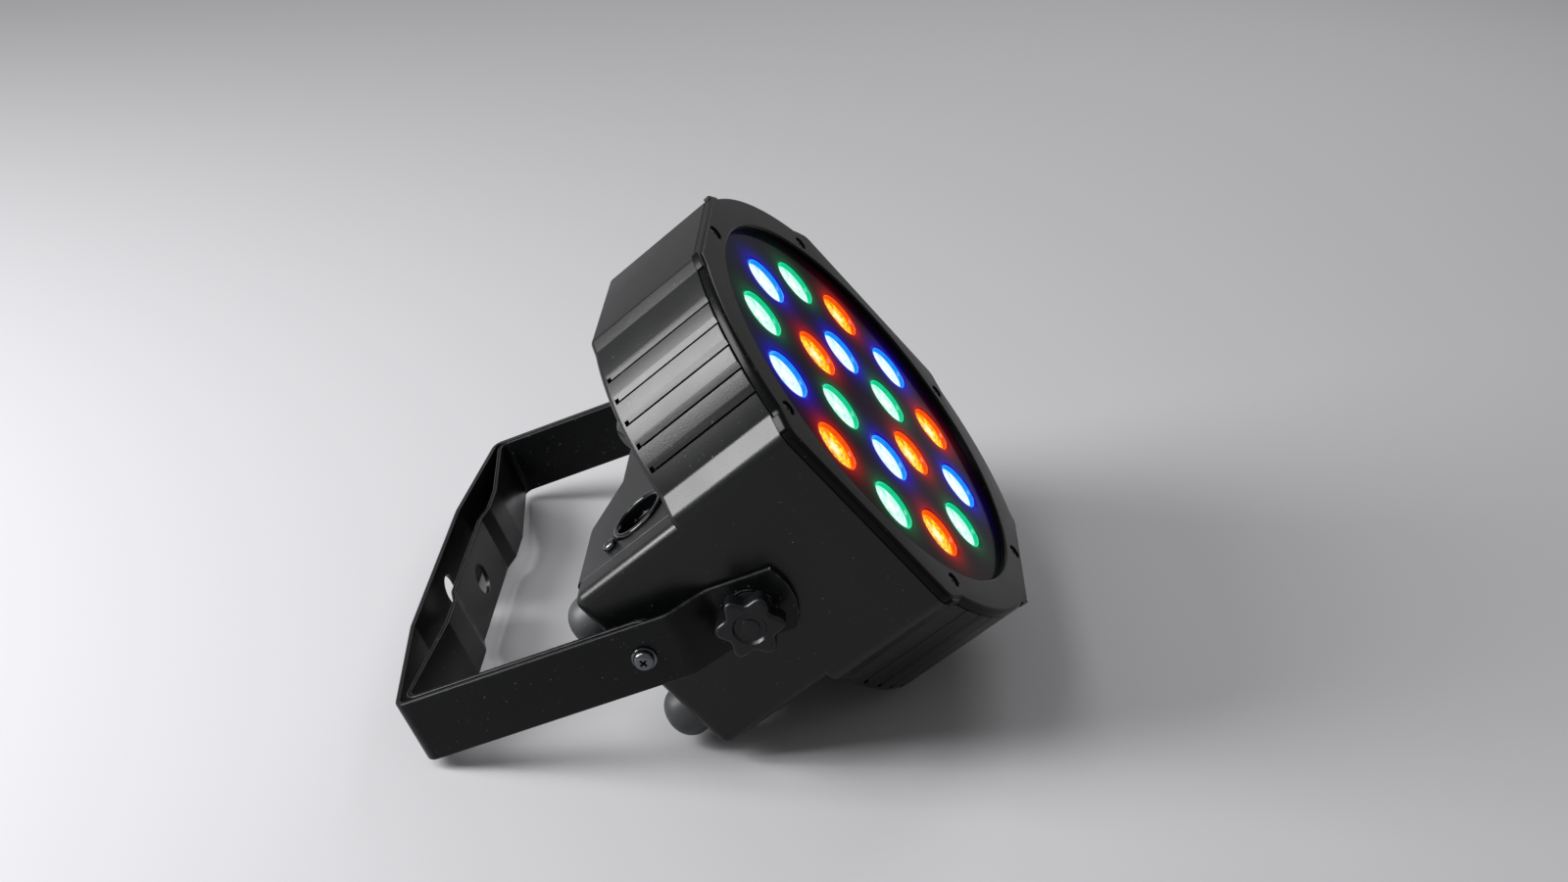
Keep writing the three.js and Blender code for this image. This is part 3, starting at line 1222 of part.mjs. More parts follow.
// The two brackets with what joins them to each other and to the head.
function addBrackets(bracket) {
  add(bracket, "mounting_bracket", geometryOf(mountingBracket()), BLACK_STEEL);
  add(bracket, "stand_bracket", geometryOf(standBracket()), BLACK_STEEL);
  for (const [side, hand] of [[-1, "left"], [1, "right"]]) {
    const place = [0, 0, -SIDE_SCREW_AT];
    add(bracket, `bracket_screw_${hand}`, bracketScrew(side), ZINC, place);
    add(bracket, `bracket_nut_${hand}`, bracketNut(side), ZINC, place);
    add(bracket, `knob_washer_${hand}`, knobWasher(side), ZINC);
    add(bracket, `tilt_knob_${hand}`, tiltKnob(side), BLACK_KNOB);
  }
}

const head = new THREE.Group();
add(head, "main_housing", geometryOf(mainHousing()), BLACK_SHELL);
addOptics(head);
addRear(head);

const bracket = new THREE.Group();
bracket.rotation.x = THREE.MathUtils.degToRad(BRACKET_ANGLE);
addBrackets(bracket);

// The tilt axis is turned to lie along Y, and the lenses are tipped up from +X to rest.
const acrossAxis = new THREE.Group();
acrossAxis.rotation.z = TURN / 4;
acrossAxis.add(head, bracket);
const leaning = new THREE.Group();
leaning.rotation.y = TURN / 4 - restLean();
leaning.add(acrossAxis);

// The part's origin is the middle of its underside.
const parCan = new THREE.Group();
parCan.add(leaning);
parCan.updateMatrixWorld(true);
const bounds = new THREE.Box3().setFromObject(parCan, true);
const centre = bounds.getCenter(new THREE.Vector3());
leaning.position.set(-centre.x, -centre.y, -bounds.min.z);

export default parCan;
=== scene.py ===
import json
import logging
import math
from dataclasses import dataclass, field
from enum import Enum
from typing import Any, Callable, Iterable, Sequence

import bmesh
import bpy
from mathutils import Matrix, Vector


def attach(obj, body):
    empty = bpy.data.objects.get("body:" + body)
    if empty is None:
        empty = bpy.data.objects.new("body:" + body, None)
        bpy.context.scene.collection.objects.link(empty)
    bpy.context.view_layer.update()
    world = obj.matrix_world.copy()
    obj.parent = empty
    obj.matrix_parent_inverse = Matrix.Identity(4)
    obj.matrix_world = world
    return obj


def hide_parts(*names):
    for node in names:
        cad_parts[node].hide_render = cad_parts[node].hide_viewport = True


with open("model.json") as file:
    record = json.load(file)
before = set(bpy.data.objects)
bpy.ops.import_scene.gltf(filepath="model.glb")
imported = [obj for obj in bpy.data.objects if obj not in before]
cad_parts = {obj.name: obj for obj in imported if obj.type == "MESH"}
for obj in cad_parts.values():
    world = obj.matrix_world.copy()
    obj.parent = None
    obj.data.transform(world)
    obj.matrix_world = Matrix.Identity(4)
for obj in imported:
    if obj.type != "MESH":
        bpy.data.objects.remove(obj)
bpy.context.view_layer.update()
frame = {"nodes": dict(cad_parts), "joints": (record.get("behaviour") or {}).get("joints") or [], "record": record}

LOG = logging.getLogger("par_can")

# Each sub-assembly is modelled in its own millimetre frame and then placed in the part's frame.
MM = 0.001
NEAR = 1e-3  # millimetres within which two places are the same
PAST = 2.0  # how far a cutter reaches past what it cuts
SKIN = 0.05  # how far a cutter's flared mouth reaches past a face
GAP = 0.3  # round a fitting in its hole
BOX_TOP = 41.0  # from the tilt axis to the box's face on the label side
BOX_BOTTOM = 40.5  # and to its opposite face
BOX_BACK = 48.5  # from the drum to the back of the box
STUD = 6.0  # diameter of a tilt knob's stud
STUD_HOLE = STUD + 2 * GAP
RIGHT_ANGLE = math.pi / 2
WAYS = (-1, 1)
QUARTERS = [(x_way, y_way) for x_way in WAYS for y_way in WAYS]

Span = tuple[float, float]
Outline = Sequence[Span]
Tree = bpy.types.NodeTree
Socket = bpy.types.NodeSocket


def linear(hexa: str, times: float = 1.0) -> tuple[float, ...]:
    """Turns an sRGB hex value into a linear colour.

    Args:
        hexa: the colour as "#rrggbb".
        times: makes the colour darker or paler.

    Returns:
        Red, green, blue and an alpha of 1.
    """
    parts = [int(hexa[i:i + 2], 16) / 255 for i in (1, 3, 5)]
    made = [c / 12.92 if c <= 0.04045 else ((c + 0.055) / 1.055) ** 2.4 for c in parts]
    return (*[min(1.0, c * times) for c in made], 1.0)


def add_node(
    tree: Tree, kind: str, values: dict[str | int, Any] | None = None, **own: Any
) -> bpy.types.Node:
    """Adds a node.

    Args:
        tree: the tree that gets it.
        kind: its type name, after "ShaderNode".
        values: for its sockets by name or number, a constant or the output that feeds it.
        own: values of the node's own properties.

    Returns:
        The new node.
    """
    node = tree.nodes.new("ShaderNode" + kind)
    for key, value in own.items():
        setattr(node, key, value)
    for key, value in (values or {}).items():
        if isinstance(value, Socket):
            tree.links.new(value, node.inputs[key])
        else:
            node.inputs[key].default_value = value
    return node


def noise(tree: Tree, place: Socket, across: float, detail: float) -> Socket:
    """Gives noise whose features are so many millimetres across."""
    values = {"Vector": place, "Scale": 1 / (across * MM), "Detail": detail}
    return add_node(tree, "TexNoise", values).outputs["Fac"]


def ranged(
    tree: Tree, value: Socket, start: float, stop: float, low: float = 0.0, high: float = 1.0,
    **own: Any,
) -> Socket:
    """Spreads a value from one range over another.

    Args:
        tree: the tree that gets the node.
        value: the output that is spread.
        start: what becomes low.
        stop: what becomes high.
        low: the result's one end.
        high: its other end.
        own: values of the node's own properties.

    Returns:
        The result.
    """
    values = {"Value": value, "From Min": start, "From Max": stop, "To Min": low, "To Max": high}
    return add_node(tree, "MapRange", values, **own).outputs["Result"]


def blend(tree: Tree, share: Socket, first: Any, second: Any) -> Socket:
    """Blends two colours or colour outputs by the share of the second."""
    return add_node(tree, "Mix", {0: share, 6: first, 7: second}, data_type="RGBA").outputs[2]


def reckon(tree: Tree, operation: str, *values: Any) -> Socket:
    """Gives the result of a sum on numbers or outputs."""
    return add_node(tree, "Math", dict(enumerate(values)), operation=operation).outputs[0]


# Shaping


class Cut(Enum):
    """How a solid is combined with others."""

    JOIN = "UNION"
    REMOVE = "DIFFERENCE"
    KEEP = "INTERSECT"


def at_level(ends: Iterable[Vector], axis: int, value: float) -> bool:
    """Says whether all ends of an edge have this value along an axis."""
    return all(abs(end[axis] - value) < NEAR for end in ends)


def polar(radius: float, angle: float) -> Vector:
    """Gives the place at a radius and at an angle in radians from X."""
    return Vector((radius * math.cos(angle), radius * math.sin(angle), 0))


def only(kind: type, items: Iterable[Any]) -> list[Any]:
    """Picks the items of one kind."""
    return [item for item in items if isinstance(item, kind)]


class Solid:
    """A closed mesh in millimetres that is shaped step by step."""

    def __init__(self, mesh: bmesh.types.BMesh | None = None) -> None:
        """Starts with a mesh, or else with an empty one."""
        self.mesh = bmesh.new() if mesh is None else mesh

    @classmethod
    def prism(cls, outline: Outline, z: Span, corner: float = 0.0) -> "Solid":
        """Raises an outline along Z.

        Args:
            outline: corners in X and Y.
            z: low and high end.
            corner: radius that rounds the outline's corners, 0 for none.

        Returns:
            The prism.
        """
        made = cls()
        made.mesh.faces.new([made.mesh.verts.new((x, y, z[0])) for x, y in outline])
        if corner > 0:
            made.round_corners(corner)
        return made.raised(z[1] - z[0])

    @classmethod
    def slab(cls, x: Span, y: Span, z: Span, corner: float = 0.0) -> "Solid":
        """Makes a block from its low and high ends, its upright edges rounded."""
        return cls.prism([(x[0], y[0]), (x[1], y[0]), (x[1], y[1]), (x[0], y[1])], z, corner)

    @classmethod
    def block(cls, half_x: float, half_y: float, z: Span, corner: float = 0.0) -> "Solid":
        """Makes a block round the Z axis, its upright edges rounded."""
        return cls.slab((-half_x, half_x), (-half_y, half_y), z, corner)

    @classmethod
    def disc(cls, diameter: float, height: float, sides: int) -> "Solid":
        """Makes a flat disc round the Z axis.

        Args:
            diameter: of the disc.
            height: where it lies.
            sides: how many edges go round it.

        Returns:
            The disc.
        """
        made = cls()
        place = Matrix.Translation((0, 0, height))
        bmesh.ops.create_circle(
            made.mesh, cap_ends=True, radius=diameter / 2, segments=sides, matrix=place
        )
        return made

    @classmethod
    def bar(cls, diameter: float, low: float, high: float, sides: int = 64) -> "Solid":
        """Makes a round bar along Z from its low to its high end."""
        return cls.disc(diameter, low, sides).raised(high - low)

    @classmethod
    def turned(cls, profile: Outline, sides: int = 64) -> "Solid":
        """Spins a profile about Z.

        Args:
            profile: points of radius and height from low to high, closed straight to the axis.
            sides: how many faces go round it.

        Returns:
            The turned solid.
        """
        made = cls()
        points = [(0.0, profile[0][1])] if profile[0][0] > 0 else []
        points += profile
        if profile[-1][0] > 0:
            points.append((0.0, profile[-1][1]))
        verts = [made.mesh.verts.new((radius, 0, height)) for radius, height in points]
        edges = [made.mesh.edges.new(pair) for pair in zip(verts, verts[1:])]
        bmesh.ops.spin(
            made.mesh, geom=verts + edges, cent=(0, 0, 0), axis=(0, 0, 1), dvec=(0, 0, 0),
            angle=math.tau, steps=sides, use_merge=True,
        )
        bmesh.ops.remove_doubles(made.mesh, verts=made.mesh.verts[:], dist=1e-5)
        return made.closed()

    @classmethod
    def bent_strip(
        cls, path: Outline, radii: Sequence[float], width: float, thickness: float, edge: float
    ) -> "Solid":
        """Bends a flat strip along a path in X and Z, as wide as the strip along Y.

        Args:
            path: corners of the strip's middle line.
            radii: bend radius at each corner.
            width: of the strip.
            thickness: of the strip.
            edge: rounding of its long edges.

        Returns:
            The bent strip.
        """
        made = cls()
        places = [Vector((x, 0, z)) for x, z in path]
        ahead = (places[1] - places[0]).normalized()
        aside = Vector((ahead.z, 0, -ahead.x)) * (thickness / 2)
        across = Vector((0, width / 2, 0))
        signs = ((-1, -1), (1, -1), (1, 1), (-1, 1))
        section = [made.mesh.verts.new(places[0] + aside * s + across * t) for s, t in signs]
        made.mesh.faces.new(section)
        made.round_corners(edge)
        end = made.mesh.faces[:][0]
        at = places[0]
        for i in range(1, len(places)):
            ahead = (places[i] - places[i - 1]).normalized()
            turn, tangent, after = 0.0, 0.0, ahead
            if i < len(places) - 1:
                after = (places[i + 1] - places[i]).normalized()
                turn = math.atan2(ahead.z * after.x - ahead.x * after.z, ahead.dot(after))
                tangent = radii[i] * math.tan(abs(turn) / 2)
            stop = places[i] - ahead * tangent
            moved = bmesh.ops.extrude_face_region(made.mesh, geom=[end])["geom"]
            verts = only(bmesh.types.BMVert, moved)
            bmesh.ops.translate(made.mesh, verts=verts, vec=stop - at)
            end = only(bmesh.types.BMFace, moved)[0]
            if turn:
                inward = Vector((ahead.z, 0, -ahead.x)) * math.copysign(radii[i], turn)
                bent = bmesh.ops.spin(
                    made.mesh, geom=[end, *end.edges, *end.verts], cent=stop + inward,
                    axis=(0, 1, 0), dvec=(0, 0, 0), angle=turn,
                    steps=max(4, round(math.degrees(abs(turn)) / 7)),
                )["geom_last"]
                end = only(bmesh.types.BMFace, bent)[0]
            at = places[i] + after * tangent
        return made.closed()

    def closed(self) -> "Solid":
        """Turns all faces outwards."""
        bmesh.ops.recalc_face_normals(self.mesh, faces=self.mesh.faces[:])
        return self

    def raised(self, by: float) -> "Solid":
        """Gives a flat face its depth along Z.

        Args:
            by: the depth.

        Returns:
            The same solid.
        """
        made = bmesh.ops.extrude_face_region(self.mesh, geom=self.mesh.faces[:])["geom"]
        verts = only(bmesh.types.BMVert, made)
        bmesh.ops.translate(self.mesh, verts=verts, vec=(0, 0, by))
        return self.closed()

    def round_corners(self, radius: float, least: float = 4.0, segments: int = 4) -> "Solid":
        """Rounds the corners of the flat outline that the mesh still is.

        Args:
            radius: of the rounding.
            least: degrees of turn from which a corner is rounded.
            segments: of the rounding.

        Returns:
            The same solid.
        """
        turns = []
        for corner in self.mesh.faces[:][0].loops:
            before = corner.vert.co - corner.link_loop_prev.vert.co
            after = corner.link_loop_next.vert.co - corner.vert.co
            turns.append((corner.vert, before.angle(after)))
        for vert, turn in turns:
            if math.degrees(turn) >= least:
                bmesh.ops.bevel(
                    self.mesh, geom=[vert], offset=radius * math.tan(turn / 2),
                    offset_type="OFFSET", segments=segments, profile=0.5,
                    affect="VERTICES", material=-1,
                )
        return self

    def round_edges(
        self, chosen: Callable[[list[Vector]], bool], radius: float, segments: int = 4
    ) -> "Solid":
        """Rounds the edges that pass a test.

        Args:
            chosen: says of an edge's two ends whether it is rounded.
            radius: of the rounding.
            segments: of the rounding.

        Returns:
            The same solid.
        """
        edges = [edge for edge in self.mesh.edges if chosen([vert.co for vert in edge.verts])]
        bmesh.ops.bevel(
            self.mesh, geom=edges, offset=radius, offset_type="OFFSET", segments=segments,
            profile=0.5, affect="EDGES", material=-1, clamp_overlap=True,
        )
        return self

    def round_level(self, height: float, radius: float, segments: int = 4) -> "Solid":
        """Rounds the edges that lie at one height."""
        return self.round_edges(lambda ends: at_level(ends, 2, height), radius, segments)

    def round_ring(self, ring: float, height: float, radius: float, segments: int) -> "Solid":
        """Rounds the circular edge that lies at a radius and height.

        Args:
            ring: the edge's radius.
            height: the edge's height.
            radius: of the rounding.
            segments: of the rounding.

        Returns:
            The same solid.
        """
        def on_ring(ends: list[Vector]) -> bool:
            """Says whether both ends lie on the ring."""
            near = all(abs(end.xy.length - ring) < 0.02 for end in ends)
            return near and at_level(ends, 2, height)

        return self.round_edges(on_ring, radius, segments)

    def placed(self, place: Matrix) -> "Solid":
        """Moves the whole mesh by a matrix."""
        bmesh.ops.transform(self.mesh, matrix=place, verts=self.mesh.verts[:])
        return self

    def moved(self, x: float = 0.0, y: float = 0.0, z: float = 0.0) -> "Solid":
        """Moves the whole mesh along the axes."""
        return self.placed(Matrix.Translation((x, y, z)))

    def rotated(self, axis: str, degrees: float) -> "Solid":
        """Turns the whole mesh about an axis through the middle."""
        return self.placed(Matrix.Rotation(math.radians(degrees), 4, axis))

    def at(self, spots: Iterable[Sequence[float]]) -> list["Solid"]:
        """Gives a copy of the solid at each place."""
        return [Solid(self.mesh.copy()).moved(*spot) for spot in spots]

    def with_shells(self, others: Iterable["Solid"]) -> "Solid":
        """Adds the meshes of others, which keep their own shells.

        Args:
            others: solids that are used up.

        Returns:
            The same solid.
        """
        for other in others:
            passed = bpy.data.meshes.new("passed")
            other.mesh.to_mesh(passed)
            other.mesh.free()
            self.mesh.from_mesh(passed)
            bpy.data.meshes.remove(passed)
        return self

    def as_object(self, name: str) -> bpy.types.Object:
        """Makes an object of the mesh and frees the mesh.

        Args:
            name: of the object.

        Returns:
            The object, in the scene.
        """
        data = bpy.data.meshes.new(name)
        self.mesh.to_mesh(data)
        self.mesh.free()
        made = bpy.data.objects.new(name, data)
        bpy.context.scene.collection.objects.link(made)
        return made

    def combined(self, how: Cut, others: Iterable["Solid"], crossing: bool) -> "Solid":
        """Joins others on, cuts them out or keeps what they share.

        Args:
            how: the way to combine.
            others: solids that are used up.
            crossing: whether the others cut through each other.

        Returns:
            The same solid.
        """
        tool = Solid().with_shells(others).as_object("tool")
        base = self.as_object("base")
        step = base.modifiers.new("cut", "BOOLEAN")
        step.operation, step.solver, step.object = how.value, "EXACT", tool
        step.use_self = crossing
        result = applied(base)
        self.mesh = bmesh.new()
        self.mesh.from_mesh(result)
        for used in (tool.data, base.data, result):
            bpy.data.meshes.remove(used)  # and with it the object that shows it
        bmesh.ops.remove_doubles(self.mesh, verts=self.mesh.verts[:], dist=1e-4)
        return self

    def joined(self, *others: "Solid", crossing: bool = False) -> "Solid":
        """Joins other solids on."""
        return self.combined(Cut.JOIN, others, crossing)

    def without(self, *others: "Solid", crossing: bool = False) -> "Solid":
        """Cuts other solids out."""
        return self.combined(Cut.REMOVE, others, crossing)

    def within(self, other: "Solid") -> "Solid":
        """Keeps what lies in another solid."""
        return self.combined(Cut.KEEP, [other], False)


def applied(made: bpy.types.Object) -> bpy.types.Mesh:
    """Gives an object's mesh with its modifiers applied."""
    return bpy.data.meshes.new_from_object(
        made.evaluated_get(bpy.context.evaluated_depsgraph_get())
    )


def ring_places(count: int, diameter: float, first: float, way: int = 1) -> list[Vector]:
    """Gives the places round a circle where a pattern repeats.

    Args:
        count: how many there are.
        diameter: of the circle.
        first: degrees from X to the first.
        way: 1 or -1, for the two ways round.

    Returns:
        The places.
    """
    angles = [math.radians(first + way * i * 360 / count) for i in range(count)]
    return [polar(diameter / 2, angle) for angle in angles]


def four_corners(x: float, y: float) -> list[Span]:
    """Gives the four places at these distances from the middle."""
    return [(x, y), (-x, y), (-x, -y), (x, -y)]


# Finishes


@dataclass(frozen=True)
class Finish:
    """A surface: what it is made of, how it was made, and what that gives the eye."""

    name: str
    colour: str
    roughness: float
    metallic: float = 0.0
    ior: float = 1.5
    specular: float = 0.5  # half keeps the full mirror strength of the IOR
    coat: float = 0.0
    coat_roughness: float = 0.06
    clearness: float = 0.0  # share of the light that goes through
    grain: float = 0.5  # millimetres across one grain
    grain_height: float = 0.01  # millimetres
    patch: float = 14.0  # millimetres across a patch where the sheen changes
    sheen_change: float = 0.06
    drift: float = 0.18  # how much darker and paler the colour gets
    edge_wear_and_highlight: str = ""  # colour of the paler edges: rubbed wear, and on the powder coat a painted highlight too
    edge_wear_and_highlight_amount: float = 0.0
    edge_wear_and_highlight_width: float = 0.7  # millimetres
    edge_wear_and_highlight_patch: float = 2.5  # millimetres across a patch of the paler edge
    dust: float = 0.0
    dust_colour: str = "#8d8b88"
    speck: float = 1.1  # millimetres between specks of dust

    def material(self) -> bpy.types.Material:
        """Gives the material, made once.

        Returns:
            The material.
        """
        known = bpy.data.materials.get(self.name)
        if known is not None:
            return known
        made = bpy.data.materials.new(self.name)
        made.use_nodes = True
        made.node_tree.nodes.clear()
        self.weave(made.node_tree)
        made.diffuse_color = linear(self.colour)
        made.roughness = self.roughness
        made.metallic = self.metallic
        return made

    def weave(self, tree: Tree) -> None:
        """Builds the nodes: grain as bump, patches of sheen, paler edges of wear and painted highlight, and dust.

        Args:
            tree: the material's tree.
        """
        place = add_node(tree, "TexCoord").outputs["Object"]
        patches = noise(tree, place, self.patch, 3.0)
        least, most = self.roughness - self.sheen_change, self.roughness + self.sheen_change
        rough = ranged(tree, patches, 0.3, 0.7, least, most)
        colour = self.base_colour(tree, place)
        if self.dust > 0:
            specks = noise(tree, place, self.speck, 0.0)
            shown = ranged(tree, specks, 0.80, 0.86, 0.0, self.dust)
            colour = blend(tree, shown, colour, linear(self.dust_colour))
        # Paler edges: rubbed wear, which on the powder coat also paints a highlight.
        if self.edge_wear_and_highlight:
            edge = self.edges(tree, place)
            colour = blend(tree, edge, colour, linear(self.edge_wear_and_highlight))
            values = {0: edge, 2: rough, 3: self.roughness * 0.7}
            rough = add_node(tree, "Mix", values, data_type="FLOAT").outputs[0]
        shader = add_node(tree, "BsdfPrincipled", {
            "Base Color": colour, "Roughness": rough, "Normal": self.relief(tree, place),
            "Metallic": self.metallic, "IOR": self.ior, "Specular IOR Level": self.specular,
            "Coat Weight": self.coat, "Coat Roughness": self.coat_roughness,
            "Transmission Weight": self.clearness,
        })
        self.light(tree, shader)
        add_node(tree, "OutputMaterial", {"Surface": shader.outputs[0]})

    def base_colour(self, tree: Tree, place: Socket) -> Socket:
        """Gives the colour with a slight drift over the piece."""
        ends = [linear(self.colour, 1 + way * self.drift) for way in WAYS]
        return blend(tree, noise(tree, place, 3 * self.patch, 2.0), *ends)

    def edges(self, tree: Tree, place: Socket) -> Socket:
        """Gives how much of the paler edge colour shows, broken up by noise: rubbed wear, and on the powder coat a
        painted highlight.

        Args:
            tree: the material's tree.
            place: the place on the piece.

        Returns:
            The share of the paler edge colour.
        """
        soft = add_node(tree, "Bevel", {"Radius": self.edge_wear_and_highlight_width * MM}, samples=4)
        true = add_node(tree, "NewGeometry")
        normals = {0: soft.outputs["Normal"], 1: true.outputs["Normal"]}
        same = add_node(tree, "VectorMath", normals, operation="DOT_PRODUCT").outputs["Value"]
        bend = ranged(tree, same, 0.99, 0.82, 0.0, self.edge_wear_and_highlight_amount)
        broken = ranged(tree, noise(tree, place, self.edge_wear_and_highlight_patch, 4.0), 0.35, 0.65)
        return reckon(tree, "MULTIPLY", bend, broken)

    def relief(self, tree: Tree, place: Socket) -> Socket:
        """Gives the surface's fine relief as a bent normal."""
        grain = noise(tree, place, self.grain, 2.0)
        values = {"Strength": 1.0, "Distance": self.grain_height * MM, "Height": grain}
        return add_node(tree, "Bump", values).outputs["Normal"]

    def light(self, tree: Tree, shader: bpy.types.Node) -> None:
        """Adds what the surface gives off, which is nothing for most."""


@dataclass(frozen=True)
class BrushedFinish(Finish):
    """Sheet metal whose rolling or turning marks run along one axis."""

    stretch: tuple[float, float, float] = (1.0, 12.0, 12.0)

    def relief(self, tree: Tree, place: Socket) -> Socket:
        """Gives the marks as a bent normal."""
        drawn = add_node(tree, "Mapping", {"Scale": self.stretch, "Vector": place})
        return super().relief(tree, drawn.outputs["Vector"])


@dataclass(frozen=True)
class BoardFinish(Finish):
    """A circuit board: solder mask over copper tracks, which show as faint paler bands."""

    track: float = 9.6  # millimetres between tracks

    def base_colour(self, tree: Tree, place: Socket) -> Socket:
        """Gives the mask's colour with the tracks under it."""
        plain = linear(self.colour)
        return add_node(tree, "TexBrick", {
            "Vector": place, "Scale": 1 / (self.track * MM), "Mortar Size": 0.06,
            "Mortar Smooth": 0.2, "Color1": plain, "Color2": plain,
            "Mortar": linear(self.colour, 1.7),
        }).outputs["Color"]


@dataclass(frozen=True)
class PaintedGlowFinish(Finish):
    """Polished black plate with a painted coloured glow round each lens: emission that stands in for the light the
    lenses spill on it.
    """

    haze: float = 1.0

    def light(self, tree: Tree, shader: bpy.types.Node) -> None:
        """Adds the painted glow, as emission of the colour stored on the plate's points."""
        stored = add_node(tree, "Attribute", attribute_name="haze")
        tree.links.new(stored.outputs["Color"], shader.inputs["Emission Color"])
        shader.inputs["Emission Strength"].default_value = self.haze


class LightColour(Enum):
    """The colours of the lamps: core, face, patches, wall low and high, the painted glow they spill on the plate,
    and the slot.
    """

    BLUE = ("#ffffff", "#f1ffff", "#b4ecff", "#0a6cff", "#12a8ff", "#1a08e0", "lens_blue")
    GREEN = ("#ffffff", "#ecfffa", "#9cf8dc", "#00b87c", "#10dc9c", "#006a3c", "lens_green")
    AMBER = ("#fdffc8", "#fff024", "#ff8c00", "#ee3c00", "#ff6400", "#c81005", "lens_red")


@dataclass(frozen=True)
class LensFinish(Finish):
    """Moulded clear polycarbonate, lit from behind by one LED.

    The face is lit evenly to its edge, mottled by the moulded facets and hottest in the middle;
    a thin dark line runs round it, and the wall of its holder glows in the full colour.
    """

    tint: LightColour = LightColour.BLUE
    strength: float = 1.0
    cells: float = 13.0  # facets across the lens
    cell_depth: float = 0.55
    clouds: float = 4.5  # patches across the lens
    hot: float = 0.42  # of the radius, how far the bright core reaches
    core: float = 0.02  # of the radius, where the core is brightest
    veiled: Span = (0.5, 0.8)
    edge_veil: float = 0.22  # how much more the patches show towards the edge
    face_edge: float = 0.934  # of the radius
    groove_edge: float = 0.952
    groove_level: float = 0.45  # of the wall's colour

    def light(self, tree: Tree, shader: bpy.types.Node) -> None:
        """Lights the lens by the distance from its middle.

        Args:
            tree: the material's tree.
            shader: the node that gives the light off.
        """
        core, face, patch, low, high, _, _ = self.tint.value
        on_lens = add_node(tree, "UVMap", uv_map="lens").outputs["UV"]
        middle = {0: on_lens, 1: (0.5, 0.5, 0.0)}
        centred = add_node(tree, "VectorMath", middle, operation="SUBTRACT").outputs["Vector"]
        radius = add_node(tree, "VectorMath", {0: centred}, operation="LENGTH").outputs["Value"]
        out = reckon(tree, "MULTIPLY", radius, 2.0)
        facets = {"Vector": on_lens, "Scale": self.cells}
        cells = add_node(tree, "TexVoronoi", facets, feature="F1").outputs["Distance"]
        patches = {"Vector": on_lens, "Scale": self.clouds, "Detail": 3.0}
        clouds = add_node(tree, "TexNoise", patches).outputs["Fac"]
        mottle = reckon(tree, "MULTIPLY_ADD", cells, self.cell_depth, clouds)
        mottle = reckon(tree, "MULTIPLY_ADD", out, self.edge_veil, mottle)
        veil = ranged(tree, mottle, *[end + self.edge_veil for end in self.veiled])
        lit = blend(tree, veil, linear(face), linear(patch))
        hot = ranged(tree, out, self.hot, self.core, interpolation_type="SMOOTHSTEP")
        lit = blend(tree, hot, lit, linear(core))
        wall = blend(tree, clouds, linear(low), linear(high))
        past_face = reckon(tree, "GREATER_THAN", out, self.face_edge)
        lit = blend(tree, past_face, lit, linear(low, self.groove_level))
        past_groove = reckon(tree, "GREATER_THAN", out, self.groove_edge)
        lit = blend(tree, past_groove, lit, wall)
        tree.links.new(lit, shader.inputs["Emission Color"])
        shader.inputs["Emission Strength"].default_value = self.strength


# Spark-eroded black ABS: a fine even grain that turns the key light into a wide satin sheen and
# sparkles in it. The black pigment and the matt skin keep the mirror strength low.
MOULDED_ABS = Finish(
    "satin_black_moulded_abs", "#090a0b", 0.32, ior=1.53, specular=0.27, grain=0.6,
    grain_height=0.03, patch=30, sheen_change=0.03, edge_wear_and_highlight="#2c2d30", edge_wear_and_highlight_amount=0.3, dust=0.2,
)
# Smooth black ABS of the bezel, from a polished mould: its face stays nearly black.
BEZEL_ABS = Finish(
    "smooth_black_moulded_abs", "#070809", 0.24, ior=1.53, specular=0.08, grain=0.8,
    grain_height=0.01, patch=30, sheen_change=0.03, edge_wear_and_highlight="#2c2d30", edge_wear_and_highlight_amount=0.3, dust=0.12,
)
# Polished black polystyrene plate: deep and mirror-like, with a painted glow round each lit lens that stands in
# for the light it spills.
POLISHED_PLATE = PaintedGlowFinish(
    "polished_black_plate", "#020203", 0.12, ior=1.59, specular=0.012, grain=2.5,
    grain_height=0.003, sheen_change=0.03,
)
# Polished black ABS of the control panel: it mirrors the lamps with hardly any blur.
POLISHED_ABS = Finish(
    "polished_black_abs", "#060709", 0.12, ior=1.53, specular=0.3, grain=2.0,
    grain_height=0.003, sheen_change=0.03,
)
# Powder-coated steel: slightly orange-peeled satin black, its edges painted pale grey, partly as rubbed wear and
# partly as a painted highlight along the arms' edges.
POWDER_COAT = Finish(
    "powder_coated_steel", "#090a0b", 0.32, specular=0.16, grain=1.3, grain_height=0.016,
    patch=22, sheen_change=0.04, edge_wear_and_highlight="#8e9094", edge_wear_and_highlight_amount=0.8, dust=0.2,
)
# Zinc-plated steel: bright, a little cloudy, with fine turning marks.
ZINC_PLATE = BrushedFinish(
    "zinc_plated_steel", "#606265", 0.13, metallic=1.0, grain=0.5, grain_height=0.006,
    patch=3.0, sheen_change=0.07, stretch=(8.0, 1.0, 8.0),
)
# Black oxide on steel screws: dark and faintly metallic.
BLACK_OXIDE = Finish(
    "black_oxide_steel", "#1d1e21", 0.38, metallic=0.7, grain=0.6, grain_height=0.006,
    patch=4.0, edge_wear_and_highlight="#5c5e62", edge_wear_and_highlight_amount=0.5,
)
# Glass-filled nylon of the knobs: satin, with pale rubbed lobes.
KNOB_NYLON = Finish(
    "satin_black_nylon", "#0b0c0e", 0.27, ior=1.53, specular=0.25, grain=0.7,
    grain_height=0.012, patch=9, sheen_change=0.04, edge_wear_and_highlight="#2c2d31", edge_wear_and_highlight_amount=0.5,
)
